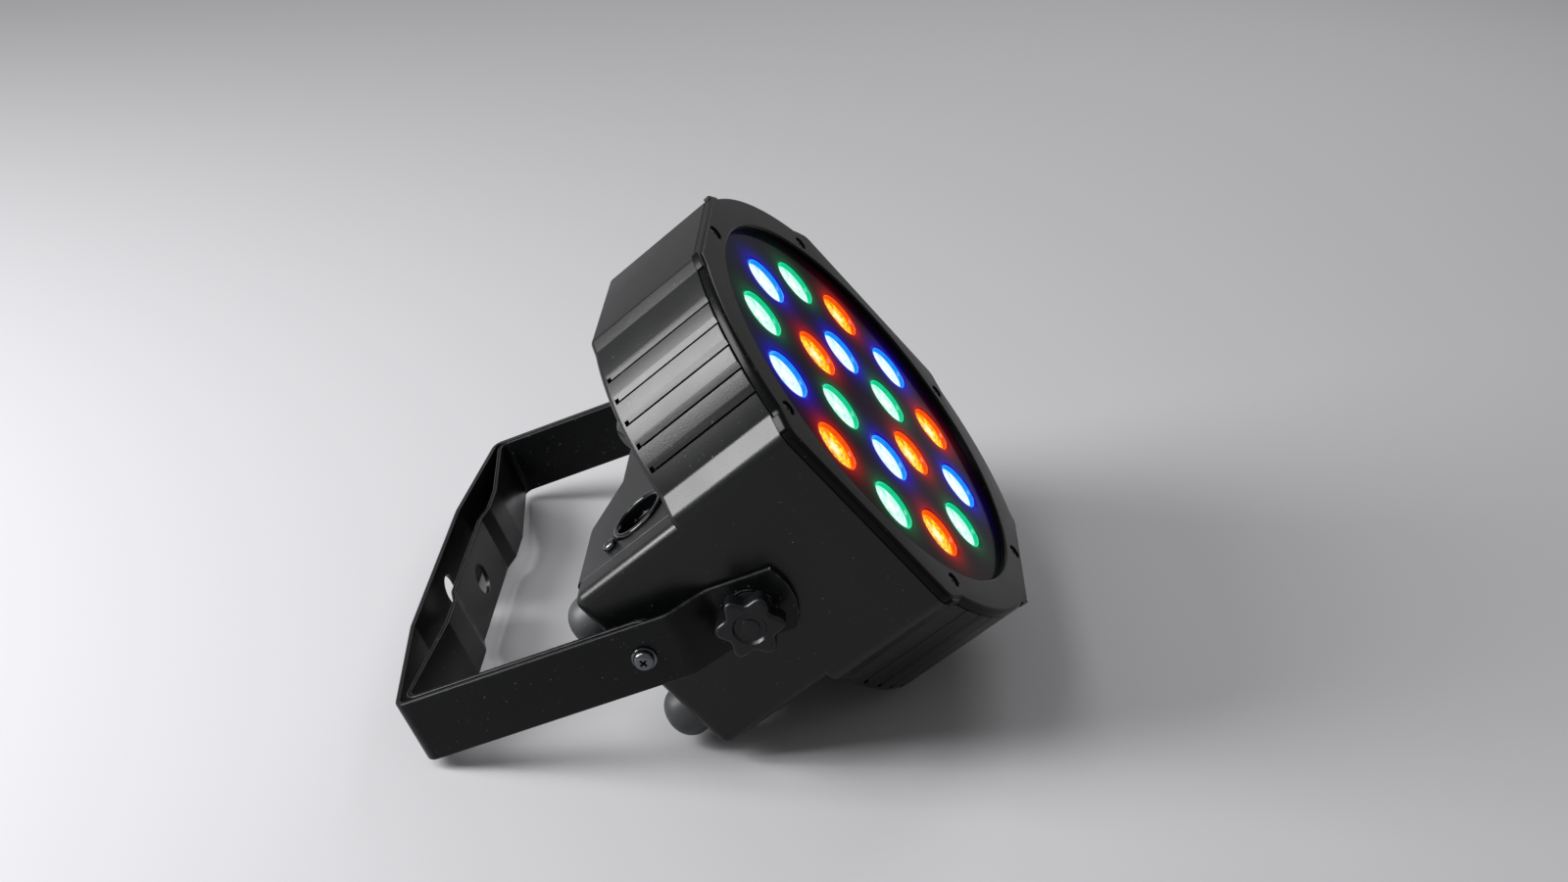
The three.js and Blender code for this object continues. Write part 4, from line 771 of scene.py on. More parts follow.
# Dark grey moulded rubber: soft and matt, its rims paler.
GREY_RUBBER = Finish(
    "dark_grey_rubber", "#36383a", 0.5, ior=1.52, specular=0.4, grain=0.5, grain_height=0.02,
    patch=6, edge_wear_and_highlight="#77797d", edge_wear_and_highlight_amount=0.5, dust=0.2,
)
# Polished black PBT of the sockets: glossy, so the barrel shows long white highlights.
SOCKET_PBT = Finish(
    "polished_black_pbt", "#07080a", 0.1, ior=1.55, specular=0.3, grain=1.2,
    grain_height=0.003, sheen_change=0.03, edge_wear_and_highlight="#222326", edge_wear_and_highlight_amount=0.2,
)
# Tin-plated brass contacts: pale and bright, with marks along the drawn pins.
CONTACT_METAL = BrushedFinish(
    "tin_plated_brass", "#d3cfc6", 0.22, metallic=1.0, grain=0.4, grain_height=0.003, patch=2,
    stretch=(8.0, 8.0, 1.0),
)
# Moulded dark grey ABS of the keys: matt, and paler where fingers rub the rims.
KEY_ABS = Finish(
    "dark_grey_abs", "#3a3b3f", 0.42, ior=1.53, grain=0.4, grain_height=0.012, patch=3,
    edge_wear_and_highlight="#5a5b60", edge_wear_and_highlight_amount=0.4,
)
# Glass-fibre boards under solder mask: a thin gloss over faint bands of copper.
GREEN_BOARD = BoardFinish("green_solder_mask", "#1d5a3c", 0.4, grain=1.0, patch=8, coat=0.3)
WHITE_BOARD = BoardFinish("white_solder_mask", "#e2e4e2", 0.45, grain=1.0, patch=8, coat=0.2)
# Extruded aluminium of the heat sink: pale and satin, with lines along the fins.
EXTRUDED_ALUMINIUM = BrushedFinish(
    "extruded_aluminium", "#a9adb2", 0.36, metallic=1.0, grain=0.5, grain_height=0.01,
    patch=10, stretch=(12.0, 1.0, 12.0),
)
# Smoked acrylic of the display window: dark, glassy and red from its dye, with the bars behind.
SMOKED_ACRYLIC = Finish(
    "smoked_acrylic", "#2a1113", 0.06, ior=1.49, grain=3.0, grain_height=0.001,
    sheen_change=0.01, clearness=0.7,
)
# Moulded red epoxy of the display's bars, dull while unlit.
UNLIT_SEGMENT = Finish("unlit_red_segment", "#5a1518", 0.5, grain=0.5, patch=3)
# Injection-moulded polycarbonate: polished, with the facets of the mould in its lit face.
LENS_FINISHES = {
    tint: LensFinish(
        f"lit_polycarbonate_{tint.name.lower()}", colour, 0.12, ior=1.59, specular=0.2,
        grain=0.9, grain_height=0.01, tint=tint, veiled=veiled, **own,
    )
    for tint, colour, veiled, own in (
        (LightColour.BLUE, "#030406", (0.62, 0.95), {}),
        (LightColour.GREEN, "#030504", (0.55, 0.9), {}),
        (LightColour.AMBER, "#060403", (0.56, 0.9),
         {"hot": 0.5, "cell_depth": 0.9, "edge_veil": 0.5}),
    )
}


# Placing


def joint(name: str) -> dict[str, Any]:
    """Gives a joint of the frame by its name."""
    return next(j for j in frame["joints"] if j["name"] == name)


def own_frame(origin: Sequence[float], x_axis: Sequence[float], z_axis: Sequence[float]) -> Matrix:
    """Makes the matrix from a sub-assembly's millimetres to the part's metres.

    Args:
        origin: of the sub-assembly's frame, in metres.
        x_axis: its X.
        z_axis: its Z.

    Returns:
        The matrix.
    """
    z = Vector(z_axis).normalized()
    x = Vector(x_axis).normalized()
    turn = Matrix((x, z.cross(x), z)).transposed().to_4x4()
    return Matrix.Translation(Vector(origin)) @ turn @ Matrix.Scale(MM, 4)


PIVOT = joint("head_tilt")["pos_m"]
TILT_AXIS = joint("head_tilt")["axis"]
# The head: X along the tilt axis, Y towards the label flat, Z out of the lenses.
HEAD = own_frame(PIVOT, TILT_AXIS, joint("button_press_1")["axis"])
# The brackets: X along the tilt axis, Z from the crossbar to the pivot.
BRACKET = own_frame(PIVOT, TILT_AXIS, [-c for c in frame["record"]["mounts"][0]["axis"]])


@dataclass
class Piece:
    """One finished piece: the node it stands for, its surface, and what carries it."""

    name: str
    node: str
    finish: Finish
    slot: str
    body: str = "head"
    place: Matrix = field(default_factory=lambda: HEAD)
    edge: float = 0.0  # rounding of the sharp edges that are left
    edge_angle: float = 35.0
    smooth: float = 32.0  # degrees up to which faces shade as one

    def stand(self, solid: Solid) -> None:
        """Makes the object from its solid.

        Args:
            solid: the shape in millimetres, which is used up.
        """
        made = solid.as_object(self.name)
        made.data.shade_smooth()
        if self.edge > 0:
            step = made.modifiers.new("edge", "BEVEL")
            step.width, step.segments, step.profile = self.edge, 2, 0.5
            step.limit_method, step.angle_limit = "ANGLE", math.radians(self.edge_angle)
            step.use_clamp_overlap, step.harden_normals = False, True
            sharp, made.data = made.data, applied(made)
            made.modifiers.clear()
            bpy.data.meshes.remove(sharp)
            made.data.name = self.name
        else:
            made.data.set_sharp_from_angle(angle=math.radians(self.smooth))
        made.data.transform(self.place)
        made.data.materials.clear()
        made.data.materials.append(self.finish.material())
        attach(made, self.body)
        if self.node:
            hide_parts(self.node)
        LOG.info("%s: %d faces on %s", self.name, len(made.data.polygons), self.body)


# Housing and bezel


@dataclass
class HeadOutline:
    """The round can's outline, with four flats and a facet at each of their ends."""

    width: float = 183.0
    height: float = 187.0
    side_flat_share: float = 0.459  # of the width
    label_flat_share: float = 0.319
    radius: float = 96.5
    arc_start: float = 30.3  # degrees
    arc_end: float = 69.3
    corner: float = 2.8
    flat_corner: float = 6.0  # beside the bracket flat
    flat_turn: float = 40.0  # degrees of turn from which a corner is one of those
    segments: int = 96  # of each round stretch
    screw_circle: float = 177.0

    @property
    def screw_spots(self) -> list[Vector]:
        """The places of the six screws that hold the bezel."""
        return ring_places(6, self.screw_circle, 30)

    def facet(self, x: float, y: float, end: float) -> tuple[Vector, float, float]:
        """Finds the facet between a flat's corner and the end of a round stretch.

        Args:
            x: of the corner.
            y: of the corner.
            end: degrees to the end of the round stretch.

        Returns:
            The way that it looks, its distance out, and the place of its middle along it.
        """
        corner = Vector((x, y, 0))
        other = polar(self.radius, math.radians(end))
        along = (other - corner).normalized()
        normal = Vector((along.y, -along.x, 0))
        if normal.x < 0:
            normal = -normal
        upwards = Vector((-normal.y, normal.x, 0))
        return normal, corner.dot(normal), (corner + other).dot(upwards) / 2

    @property
    def side_facet(self) -> tuple[Vector, float, float]:
        """The facet beside a bracket flat."""
        return self.facet(self.width / 2, self.width * self.side_flat_share / 2, self.arc_start)

    @property
    def label_facet(self) -> tuple[Vector, float, float]:
        """The facet beside the label flat."""
        return self.facet(self.width * self.label_flat_share / 2, self.height / 2, self.arc_end)

    def corners(self, inset: float) -> list[Span]:
        """Finds the four corners of one quarter of the outline.

        Args:
            inset: how far the outline is taken in.

        Returns:
            Where the side flat, the round stretch and the label flat end, from X to Y.
        """
        wide, high = self.width / 2 - inset, self.height / 2 - inset
        normal, distance, _ = self.side_facet
        first = (wide, (distance - inset - normal.x * wide) / normal.y)
        begin = self.on_arc(normal, distance, inset, -1)
        normal, distance, _ = self.label_facet
        last = ((distance - inset - normal.y * high) / normal.x, high)
        return [first, begin, self.on_arc(normal, distance, inset, 1), last]

    def on_arc(self, normal: Vector, distance: float, inset: float, way: int) -> Span:
        """Finds where a facet meets the round stretch.

        Args:
            normal: of the facet.
            distance: of the facet.
            inset: how far both are taken in.
            way: -1 or 1, for the end before or after the facet's middle.

        Returns:
            The meeting point.
        """
        radius = self.radius - inset
        angle = math.atan2(normal.y, normal.x) + way * math.acos((distance - inset) / radius)
        return (radius * math.cos(angle), radius * math.sin(angle))

    def face(self, inset: float, height: float, corner: float) -> Solid:
        """Draws the outline: its corners, and the round stretches swept between them.

        Args:
            inset: how far it is taken in all round.
            height: where it lies.
            corner: radius that rounds its corners.

        Returns:
            The flat outline.
        """
        made = Solid()
        ends = {}
        for x_way, y_way in reversed(QUARTERS):
            first, begin, stop, last = [
                made.mesh.verts.new((x * x_way, y * y_way, height))
                for x, y in self.corners(inset)
            ]
            turn = begin.co.xy.angle_signed(stop.co.xy)
            made.mesh.verts.remove(stop)
            stop = bmesh.ops.spin(
                made.mesh, geom=[begin], cent=(0, 0, height), axis=(0, 0, -1),
                dvec=(0, 0, 0), angle=turn, steps=self.segments,
            )["geom_last"][0]
            made.mesh.edges.new((first, begin))
            made.mesh.edges.new((stop, last))
            ends[x_way, y_way] = (first, last)
        for way in reversed(WAYS):
            made.mesh.edges.new((ends[way, 1][0], ends[way, -1][0]))
            made.mesh.edges.new((ends[1, way][1], ends[-1, way][1]))
        bmesh.ops.edgeloop_fill(made.mesh, edges=made.mesh.edges[:])
        if corner > 0:
            made.round_corners(self.flat_corner, self.flat_turn, 16).round_corners(corner)
        return made

    def prism(self, inset: float, z: Span, corner: float = 0.0) -> Solid:
        """Raises the outline from its low to its high end."""
        return self.face(inset, z[0], corner).raised(z[1] - z[0])


@dataclass
class Housing:
    """The moulded drum with grooved round stretches and the two cheeks behind it."""

    outline: HeadOutline
    depth: float = 51.0
    wall: float = 3.0
    root: float = 0.5  # how far a boss starts inside the wall
    rim: float = 2.5
    seam: float = 0.45
    window: Span = (140.0, 68.0)
    window_corner: float = 4.0
    groove_count: int = 5
    groove_middle: float = 47.3  # degrees
    groove_pitch: float = 9.9
    groove_ramp: float = 3.6
    slot: float = 0.95  # the deep line beside the step
    slot_depth: float = 2.1
    ramp_depth: float = 0.24
    notch: tuple[float, float, float] = (2.3, 1.6, 2.0)  # at a groove's end: wide, long, deep
    groove_start: float = 3.1
    cheek_inner: float = 79.5
    cheek_round: float = 4.4
    cheek_corner: float = 1.5  # of its hollows
    rib: float = 3.0
    pivot_boss: float = 20.0
    post: float = 8.0
    post_circle: float = 130.0
    post_top: float = 31.1
    screw_boss: float = 8.4
    screw_hole: float = 3.4
    screw_depth: float = 14.0
    boss_drop: float = 0.6  # from the drum's edge to the top of a screw boss

    def build(self) -> None:
        """Makes the housing and stands it in place."""
        body = self.outline.prism(0, (0, self.depth), self.outline.corner)
        body.round_level(0, self.rim, 8).round_level(self.depth, self.seam, 3)
        hollow = self.outline.prism(self.wall, (self.wall, self.depth + PAST))
        half_x, half_y = self.window[0] / 2, self.window[1] / 2
        window = Solid.block(half_x, half_y, (-PAST, self.wall + 1), self.window_corner)
        body.without(hollow, window, crossing=True)
        spots, foot = self.outline.screw_spots, self.wall - self.root
        posts = Solid.bar(self.post, foot, self.post_top, 32)
        bosses = Solid.bar(self.screw_boss, foot, self.depth - self.boss_drop, 32)
        body.joined(
            *posts.at(ring_places(4, self.post_circle, 45)), *bosses.at(spots),
            *[self.cheek(side) for side in WAYS], crossing=True,
        )
        hole = Solid.bar(self.screw_hole, self.depth - self.screw_depth, self.depth + PAST, 24)
        reach = (self.cheek_inner - PAST, self.outline.width / 2 + PAST)
        bores = [Solid.bar(STUD_HOLE, *reach, 40).rotated("Y", 90 * side) for side in WAYS]
        body.without(*hole.at(spots), *bores)
        body.without(*self.grooves(), crossing=True)
        Piece(
            "moulded_housing", "main_housing", MOULDED_ABS, "housing_plastic", smooth=14
        ).stand(body)

    def cheek(self, side: int) -> Solid:
        """Makes one hollow, ribbed cheek with its pivot boss.

        Args:
            side: -1 or 1 along the tilt axis.

        Returns:
            The cheek.
        """
        outer = self.outline.width / 2
        made = Solid.slab(
            (self.cheek_inner, outer), (-BOX_BOTTOM, BOX_TOP), (-BOX_BACK, self.wall - self.root)
        )

        def outside(ends: list[Vector]) -> bool:
            """Says whether an edge belongs to the cheek's rounded outside."""
            back, out = at_level(ends, 2, -BOX_BACK), at_level(ends, 0, outer)
            side_edge = at_level(ends, 1, BOX_TOP) or at_level(ends, 1, -BOX_BOTTOM)
            return (out and back) or (side_edge and (out or back))

        made.round_edges(outside, self.cheek_round, 8)
        inner = (self.cheek_inner - PAST, outer - self.wall)
        depth = (self.wall - BOX_BACK, -self.wall)
        spans = ((self.rib / 2, BOX_TOP - self.wall), (self.wall - BOX_BOTTOM, -self.rib / 2))
        made.without(*[Solid.slab(inner, span, depth, self.cheek_corner) for span in spans])
        boss = Solid.bar(self.pivot_boss, self.cheek_inner, outer - self.wall / 2, 48)
        made.joined(boss.rotated("Y", 90))
        if side < 0:
            made.rotated("Z", 180).moved(y=BOX_TOP - BOX_BOTTOM)
        return made

    def grooves(self) -> list[Solid]:
        """Makes the cutters of all grooves: a step on the bracket's side, then a ramp.

        Returns:
            The cutters.
        """
        made = []
        radius = self.outline.radius
        wide, long, deep = self.notch
        for i in range(self.groove_count):
            along = (i - (self.groove_count - 1) / 2) * self.groove_pitch
            start = math.radians(self.groove_middle) + along / radius
            end, slot, pocket = [
                start + length / radius for length in (self.groove_ramp, self.slot, wide)
            ]
            ramp = [
                (radius - self.slot_depth, start), (radius + PAST, start), (radius + PAST, end),
                (radius, end), (radius - self.ramp_depth, slot),
                (radius - self.slot_depth, slot),
            ]
            notch = [
                (radius - deep, start), (radius + PAST, start), (radius + PAST, pocket),
                (radius - deep, pocket),
            ]
            ends = (self.depth + PAST, self.groove_start + long)
            for x_way, y_way in QUARTERS:
                for shape, reach in zip((ramp, notch), ends):
                    outline = [
                        (out * math.cos(a) * x_way, out * math.sin(a) * y_way) for out, a in shape
                    ]
                    made.append(Solid.prism(outline, (self.groove_start, reach)))
        return made


@dataclass
class Bezel:
    """The front ring with its lugs and six sunk screws."""

    outline: HeadOutline
    back: float = 51.3
    front: float = 55.0
    round: float = 1.8
    back_round: float = 0.4
    opening: float = 165.0
    mouth: float = 0.8  # depth and width of the opening's rounded rim
    mouth_middle: float = 0.25
    ring_outer: float = 170.4
    ring_wall: float = 1.6
    boss_notch: float = 9.0
    ring_back: float = 47.3
    lug_proud: float = 0.9
    lug_corner: float = 0.7
    lug_round: float = 0.6
    side_lug: float = 7.0
    label_lug: float = 7.6
    screw_head: float = 5.2
    screw_sink: float = 0.6
    screw_head_depth: float = 1.6
    shank_hole: float = 1.7  # radius
    head_hole: float = 2.9
    head_mouth: float = 0.35

    def build(self) -> None:
        """Makes the bezel and its screws."""
        ring = self.outline.prism(0, (self.back, self.front), self.outline.corner)
        ring.round_level(self.front, self.round, 8).round_level(self.back, self.back_round, 2)
        facets = (
            (self.outline.side_facet, self.side_lug), (self.outline.label_facet, self.label_lug)
        )
        ring.joined(*[self.lug(*facet, *ways) for facet in facets for ways in QUARTERS])
        plate = LensArray.front
        ring.joined(Solid.bar(self.ring_outer, self.ring_back, plate, 128))
        bore, radius = self.ring_outer - 2 * self.ring_wall, self.opening / 2
        ring.without(
            Solid.bar(bore, self.ring_back - PAST, plate + GAP, 128),
            Solid.turned([
                (radius, plate - 1), (radius, self.front - self.mouth),
                (radius + self.mouth_middle, self.front - self.mouth_middle),
                (radius + self.mouth, self.front + SKIN), (radius + self.mouth, self.front + PAST),
            ], 160),
            crossing=True,
        )
        spots = self.outline.screw_spots
        seat = self.front - self.screw_sink - self.screw_head_depth
        low, wide = seat - GAP, self.head_hole + self.head_mouth
        ring.without(*Solid.bar(self.boss_notch, self.ring_back - PAST, self.back, 40).at(spots))
        ring.without(*Solid.turned([
            (self.shank_hole, self.back - PAST), (self.shank_hole, low), (self.head_hole, low),
            (self.head_hole, self.front - self.head_mouth), (wide, self.front + SKIN),
            (wide, self.front + PAST),
        ], 40).at(spots))
        Piece(
            "bezel_ring", "front_bezel", BEZEL_ABS, "housing_plastic", smooth=14
        ).stand(ring)
        for i, spot in enumerate(spots):
            screw = Screw(self.screw_head, self.screw_head_depth, 2.8, 12.4, 1.5).shape()
            Piece(
                f"bezel_fixing_{i + 1}", f"bezel_screw_{i + 1}", BLACK_OXIDE, "black_steel"
            ).stand(screw.moved(0, 0, seat).rotated("Z", 17 + 41 * i).moved(*spot))

    def lug(
        self, facet: tuple[Vector, float, float], length: float, x_way: int, y_way: int
    ) -> Solid:
        """Makes one low lug on a facet.

        Args:
            facet: the facet's normal, distance and middle.
            length: along the facet.
            x_way: 1, or -1 for the facet's mirror image across X.
            y_way: 1, or -1 for its mirror image across Y.

        Returns:
            The lug.
        """
        normal, distance, middle = facet
        high, top = distance + self.lug_proud, self.front - self.round / 2
        made = Solid.slab(
            (distance - self.round - PAST, high), (middle - length / 2, middle + length / 2),
            (self.back, top), self.lug_corner,
        )
        made.round_edges(
            lambda ends: all(end.z > top - NEAR and end.x > high - 1 for end in ends),
            self.lug_round, 3,
        )
        made.rotated("Z", math.degrees(math.atan2(normal.y, normal.x)))
        return made.placed(Matrix.Diagonal((x_way, y_way, 1, 1))).closed()


@dataclass
class Screw:
    """A pan-head screw with a cross recess, its head standing on Z = 0."""

    head: float
    height: float
    shank: float
    length: float
    recess: float
    washer: float = 0.0
    washer_depth: float = 0.0
    tip: float = 0.4
    washer_edge: float = 0.15
    crown_shares: Outline = (
        (1.0, 0.42), (0.965, 0.62), (0.87, 0.8), (0.72, 0.92), (0.45, 0.985), (0.0, 1.0),
    )
    blade_shares: Span = (0.27, 0.065)  # half of the recess's length and width, of the head
    taper: Span = (0.45, 0.7)

    def shape(self) -> Solid:
        """Makes the screw.

        Returns:
            The screw, its shank going down.
        """
        half, crown, shank = self.head / 2, self.height, self.shank / 2
        profile = [
            (shank - self.tip, -self.length), (shank, self.tip - self.length),
            (shank, -self.washer_depth),
        ]
        if self.washer:
            rim, edge = self.washer / 2, self.washer_edge
            profile += [
                (rim - edge, -self.washer_depth), (rim, edge - self.washer_depth),
                (rim, -edge), (rim - edge, 0),
            ]
        profile += [(half - 0.1, 0), (half, 0.12)]
        profile += [(half * out, crown * up) for out, up in self.crown_shares]
        reach, side = [self.head * share for share in self.blade_shares]
        cross = []
        for angle in (0, 90):
            blade = Solid.block(reach, side, (crown - self.recess, crown + 1))
            for vert in blade.mesh.verts:
                if vert.co.z < crown:
                    vert.co.x *= self.taper[0]
                    vert.co.y *= self.taper[1]
            cross.append(blade.rotated("Z", angle))
        return Solid.turned(profile, 48).without(*cross, crossing=True)


# Lens plate and lenses


@dataclass
class LensArray:
    """The gloss plate with twelve outer and six inner lit lenses."""

    front: float = 52.0
    depth: float = 3.0
    diameter: float = 166.6
    cells: int = 96  # across the plate, for the painted glow
    hole: float = 21.0
    hole_mouth: float = 0.35
    lens: float = 20.4
    outer_circle: float = 120.0
    inner_circle: float = 55.6
    haze: tuple[Span, ...] = ((0.5, 2.8), (0.016, 14.0))  # level and reach of the two parts of the painted glow
    outer_colours: str = "BGABABGAGABG"
    inner_colours: str = "ABGABG"
    # From the foot up the cone and the holder's wall, then inwards over groove and lit face.
    lens_profile: Outline = (
        (4.5, 38), (10.2, 46.5), (10.2, 51.6), (10.12, 51.78), (9.98, 51.7), (9.84, 50.15),
        (9.68, 49.95), (9.52, 50.1), (8.6, 50.22), (6.4, 50.38), (3.2, 50.46), (0, 50.48),
    )

    def spots(self) -> list[tuple[str, Vector, LightColour]]:
        """Lists every lens.

        Returns:
            Its CAD node, place and colour.
        """
        known = {tint.name[0]: tint for tint in LightColour}
        made = []
        for ring, diameter, first, letters in (
            ("outer", self.outer_circle, 75.0, self.outer_colours),
            ("inner", self.inner_circle, 90.0, self.inner_colours),
        ):
            places = ring_places(len(letters), diameter, first, -1)
            for i, (spot, letter) in enumerate(zip(places, letters)):
                made.append((f"lens_{ring}_{i + 1:02d}", spot, known[letter]))
        return made

    def build(self) -> None:
        """Makes the plate and all lenses."""
        self.plate()
        for node, spot, tint in self.spots():
            name = node.replace("lens", "lit_lens")
            piece = Piece(name, node, LENS_FINISHES[tint], tint.value[-1], smooth=40)
            piece.stand(self.lens_shape().moved(*spot))

    def plate(self) -> None:
        """Makes the plate, with the painted glow of the lenses stored on its points."""
        sheet = Solid()
        bmesh.ops.create_grid(
            sheet.mesh, x_segments=self.cells, y_segments=self.cells, size=self.diameter / 2 + 1,
            matrix=Matrix.Translation((0, 0, self.front - self.depth)),
        )
        low, high, half = self.front - 5, self.front + PAST, self.hole / 2
        sheet.raised(self.depth).within(Solid.bar(self.diameter, low, high, 160))
        hole = Solid.turned([
            (half, low), (half, self.front - 0.3), (half + 0.1, self.front - 0.1),
            (half + self.hole_mouth, self.front + SKIN), (half + self.hole_mouth, high),
        ])
        sheet.without(*hole.at(spot for _, spot, _ in self.spots()))
        # Painted light: each point stores the colours of the lenses, fading with distance from their holes, and
        # the plate gives it off as emission.
        layer = sheet.mesh.verts.layers.float_color.new("haze")
        lamps = [(spot, Vector(linear(tint.value[5])[:3])) for _, spot, tint in self.spots()]
        for vert in sheet.mesh.verts:
            glow = Vector((0, 0, 0))
            for spot, colour in lamps:
                away = max(0.0, (vert.co.xy - spot.xy).length - half)
                glow += colour * sum(level * math.exp(-away / reach) for level, reach in self.haze)
            vert[layer] = (*glow, 1.0)
        Piece("gloss_lens_plate", "lens_plate", POLISHED_PLATE, "panel_gloss").stand(sheet)

    def lens_shape(self) -> Solid:
        """Makes a lens on its own axis: a cone, its lit face, a groove and the holder's wall.

        Returns:
            The lens, with its face laid out in a UV map.
        """
        made = Solid.turned(self.lens_profile, 72)
        layer = made.mesh.loops.layers.uv.new("lens")
        for face in made.mesh.faces:
            for loop in face.loops:
                loop[layer].uv = loop.vert.co.xy / self.lens + Vector((0.5, 0.5))
        return made


# Connector box


@dataclass
class Fitting:
    """Something that stands in the row of a socket face."""

    face: Matrix
    x: float
    female: bool

    @property
    def place(self) -> Matrix:
        """Its own frame: Z out of the face."""
        return HEAD @ self.face @ Matrix.Translation((self.x, 0, 0))


@dataclass
class DataSocket(Fitting):
    """A round three-pole data socket: pins in a deep barrel, or holes with a push tab."""

    barrel: float = 24.0
    proud: float = 1.2
    ring_round: float = 1.1
    depth: float = 20.0
    cavity: float = 18.8
    floor: float = -13.8
    flange: Span = (13.0, 15.5)
    flange_z: Span = (-4.8, -2.8)
    mouth_steps: Outline = ((0.0, 1.0), (0.12, 0.6), (0.36, 0.26), (0.7, 0.06), (1.0, -SKIN))
    key: tuple[float, float] = (1.4, 0.9)
    pole_circle: float = 7.4
    pole: float = 1.2  # radius
    pin_steps: Outline = ((1.2, -1.0), (1.2, 8.6), (1.05, 9.1), (0.7, 9.4), (0.0, 9.5))
    insert: float = 15.2
    insert_round: float = 0.5
    screw_spot: Span = (9.5, 12.0)
    tab_x: float = 2.2
    tab_y: Span = (10.4, 12.4)
    tab_z: Span = (-5.6, 3.4)
    tab_corner: float = 0.35
    ridge: float = 0.7
    ridge_reach: float = 1.9
    ridge_pitch: float = 0.6

    @classmethod
    def tab_hole(cls, z: Span) -> Solid:
        """Makes the cutter that leaves room round the push tab."""
        y = (cls.tab_y[0] - GAP, cls.tab_y[1] + GAP)
        return Solid.slab((-cls.tab_x - GAP, cls.tab_x + GAP), y, z)

    def build(self) -> None:
        """Makes the socket, its contacts and its screws."""
        half = self.cavity / 2
        body = Solid.bar(self.barrel, -self.depth, self.proud, 96)
        body.round_ring(self.barrel / 2, self.proud, self.ring_round, 6)
        body.joined(Solid.block(*self.flange, self.flange_z, 2))
        mouth = [(half + out, self.proud - down) for out, down in self.mouth_steps]
        body.without(Solid.turned([(half, self.floor), *mouth, (mouth[-1][0], 5)], 96))
        spots = ring_places(3, self.pole_circle, -90)
        if self.female:
            insert = Solid.bar(self.insert, self.floor - 1, 0)
            body.joined(insert.round_ring(self.insert / 2, 0, self.insert_round, 3))
            pole = Solid.turned([
                (self.pole, -9.5), (self.pole, -0.5), (self.pole + 0.5, SKIN),
                (self.pole + 0.5, PAST),
            ], 32)
            body.without(*pole.at(spots), self.tab_hole((-7.5, 4)), crossing=True)
            name, node = "data_outlet", "data_out_socket"
            self.latch()
        else:
            wide, deep = self.key
            body.joined(Solid.slab(
                (-wide, wide), (half - deep, half + 1), (self.floor, self.proud - 0.6)
            ))
            pin = Solid.turned([(out, self.floor + up) for out, up in self.pin_steps], 24)
            name, node = "data_inlet", "data_in_socket"
            Piece(
                "data_inlet_pins", node, CONTACT_METAL, "zinc", place=self.place
            ).stand(Solid().with_shells(pin.at(spots)))
        Piece(
            name, node, SOCKET_PBT, "black_steel", place=self.place, smooth=30
        ).stand(body)
        for i, end in enumerate(WAYS):
            screw = Screw(5.8, 2.0, 2.8, 7.0, 1.5).shape().rotated("Z", 25 * end)
            x, y = [end * length for length in self.screw_spot]
            stands_for = node if self.female else f"socket_screw_{i + 1}"
            Piece(
                f"{name}_screw_{i + 1}", stands_for, ZINC_PLATE, "black_steel", place=self.place
            ).stand(screw.moved(-x, y, GAP))

    def latch(self) -> None:
        """Makes the push tab with its three finger ridges."""
        top = self.tab_z[1]
        tab = Solid.slab((-self.tab_x, self.tab_x), self.tab_y, self.tab_z, self.tab_corner)
        middle = sum(self.tab_y) / 2
        ridge = Solid.bar(self.ridge, -self.ridge_reach, self.ridge_reach, 16).rotated("Y", 90)
        spots = [(0, middle + step * self.ridge_pitch, top) for step in (-1, 0, 1)]
        tab.joined(*ridge.at(spots), crossing=True)
        Piece(
            "release_tab", "data_out_latch", KEY_ABS, "button_grey", "data_out_tab", self.place,
            edge=0.12,
        ).stand(tab)


@dataclass
class PowerSocket(Fitting):
    """An earthed power socket: an inlet with blades, or an outlet with slots."""

    flange: Span = (15.5, 12.0)
    flange_z: Span = (0.3, 2.5)
    body: Span = (13.5, 9.7)
    body_z: Span = (-19.5, 1.5)
    mouth: Span = (24.2, 16.4)
    mouth_corner: float = 4.6
    floor: float = -14.5
    shroud: float = 2.2
    contacts: Outline = ((-7, -2), (0, 2), (7, -2))

    def mouth_outline(self, inset: float) -> list[Span]:
        """Gives the mouth's outline, two of its corners cut off.

        Args:
            inset: how far it is taken in.

        Returns:
            The corners.
        """
        x, y = [side / 2 - inset for side in self.mouth]
        corner = self.mouth_corner - inset / 2
        right = [(x, -y), (x, y - corner), (x - corner, y)]
        return [(-x, -y), *right, (corner - x, y), (-x, y - corner)]

    def build(self) -> None:
        """Makes the socket and its contacts."""
        body = Solid.block(*self.flange, self.flange_z, 2.5).round_level(self.flange_z[1], 0.6, 3)
        body.joined(Solid.block(*self.body, self.body_z, 1))
        body.without(Solid.prism(self.mouth_outline(0), (self.floor, 5), 0.9))
        if self.female:
            name, node = "power_outlet_body", "power_outlet"
            shroud = self.mouth_outline(self.shroud)
            body.joined(Solid.prism(shroud, (self.floor - 0.5, 2.3), 0.7))
            body.without(*Solid.block(1.2, 2.2, (-11.5, 5), 0.3).at(self.contacts))
        else:
            name, node = "power_inlet_body", "power_inlet"
            blade = Solid.block(1, 2, (self.floor - 1, -4.5), 0.3).round_level(-4.5, 0.5, 2)
            Piece(
                "power_inlet_blades", node, CONTACT_METAL, "zinc", place=self.place
            ).stand(Solid().with_shells(blade.at(self.contacts)))
        Piece(
            name, node, SOCKET_PBT, "housing_plastic", place=self.place, edge=0.15, edge_angle=50
        ).stand(body)


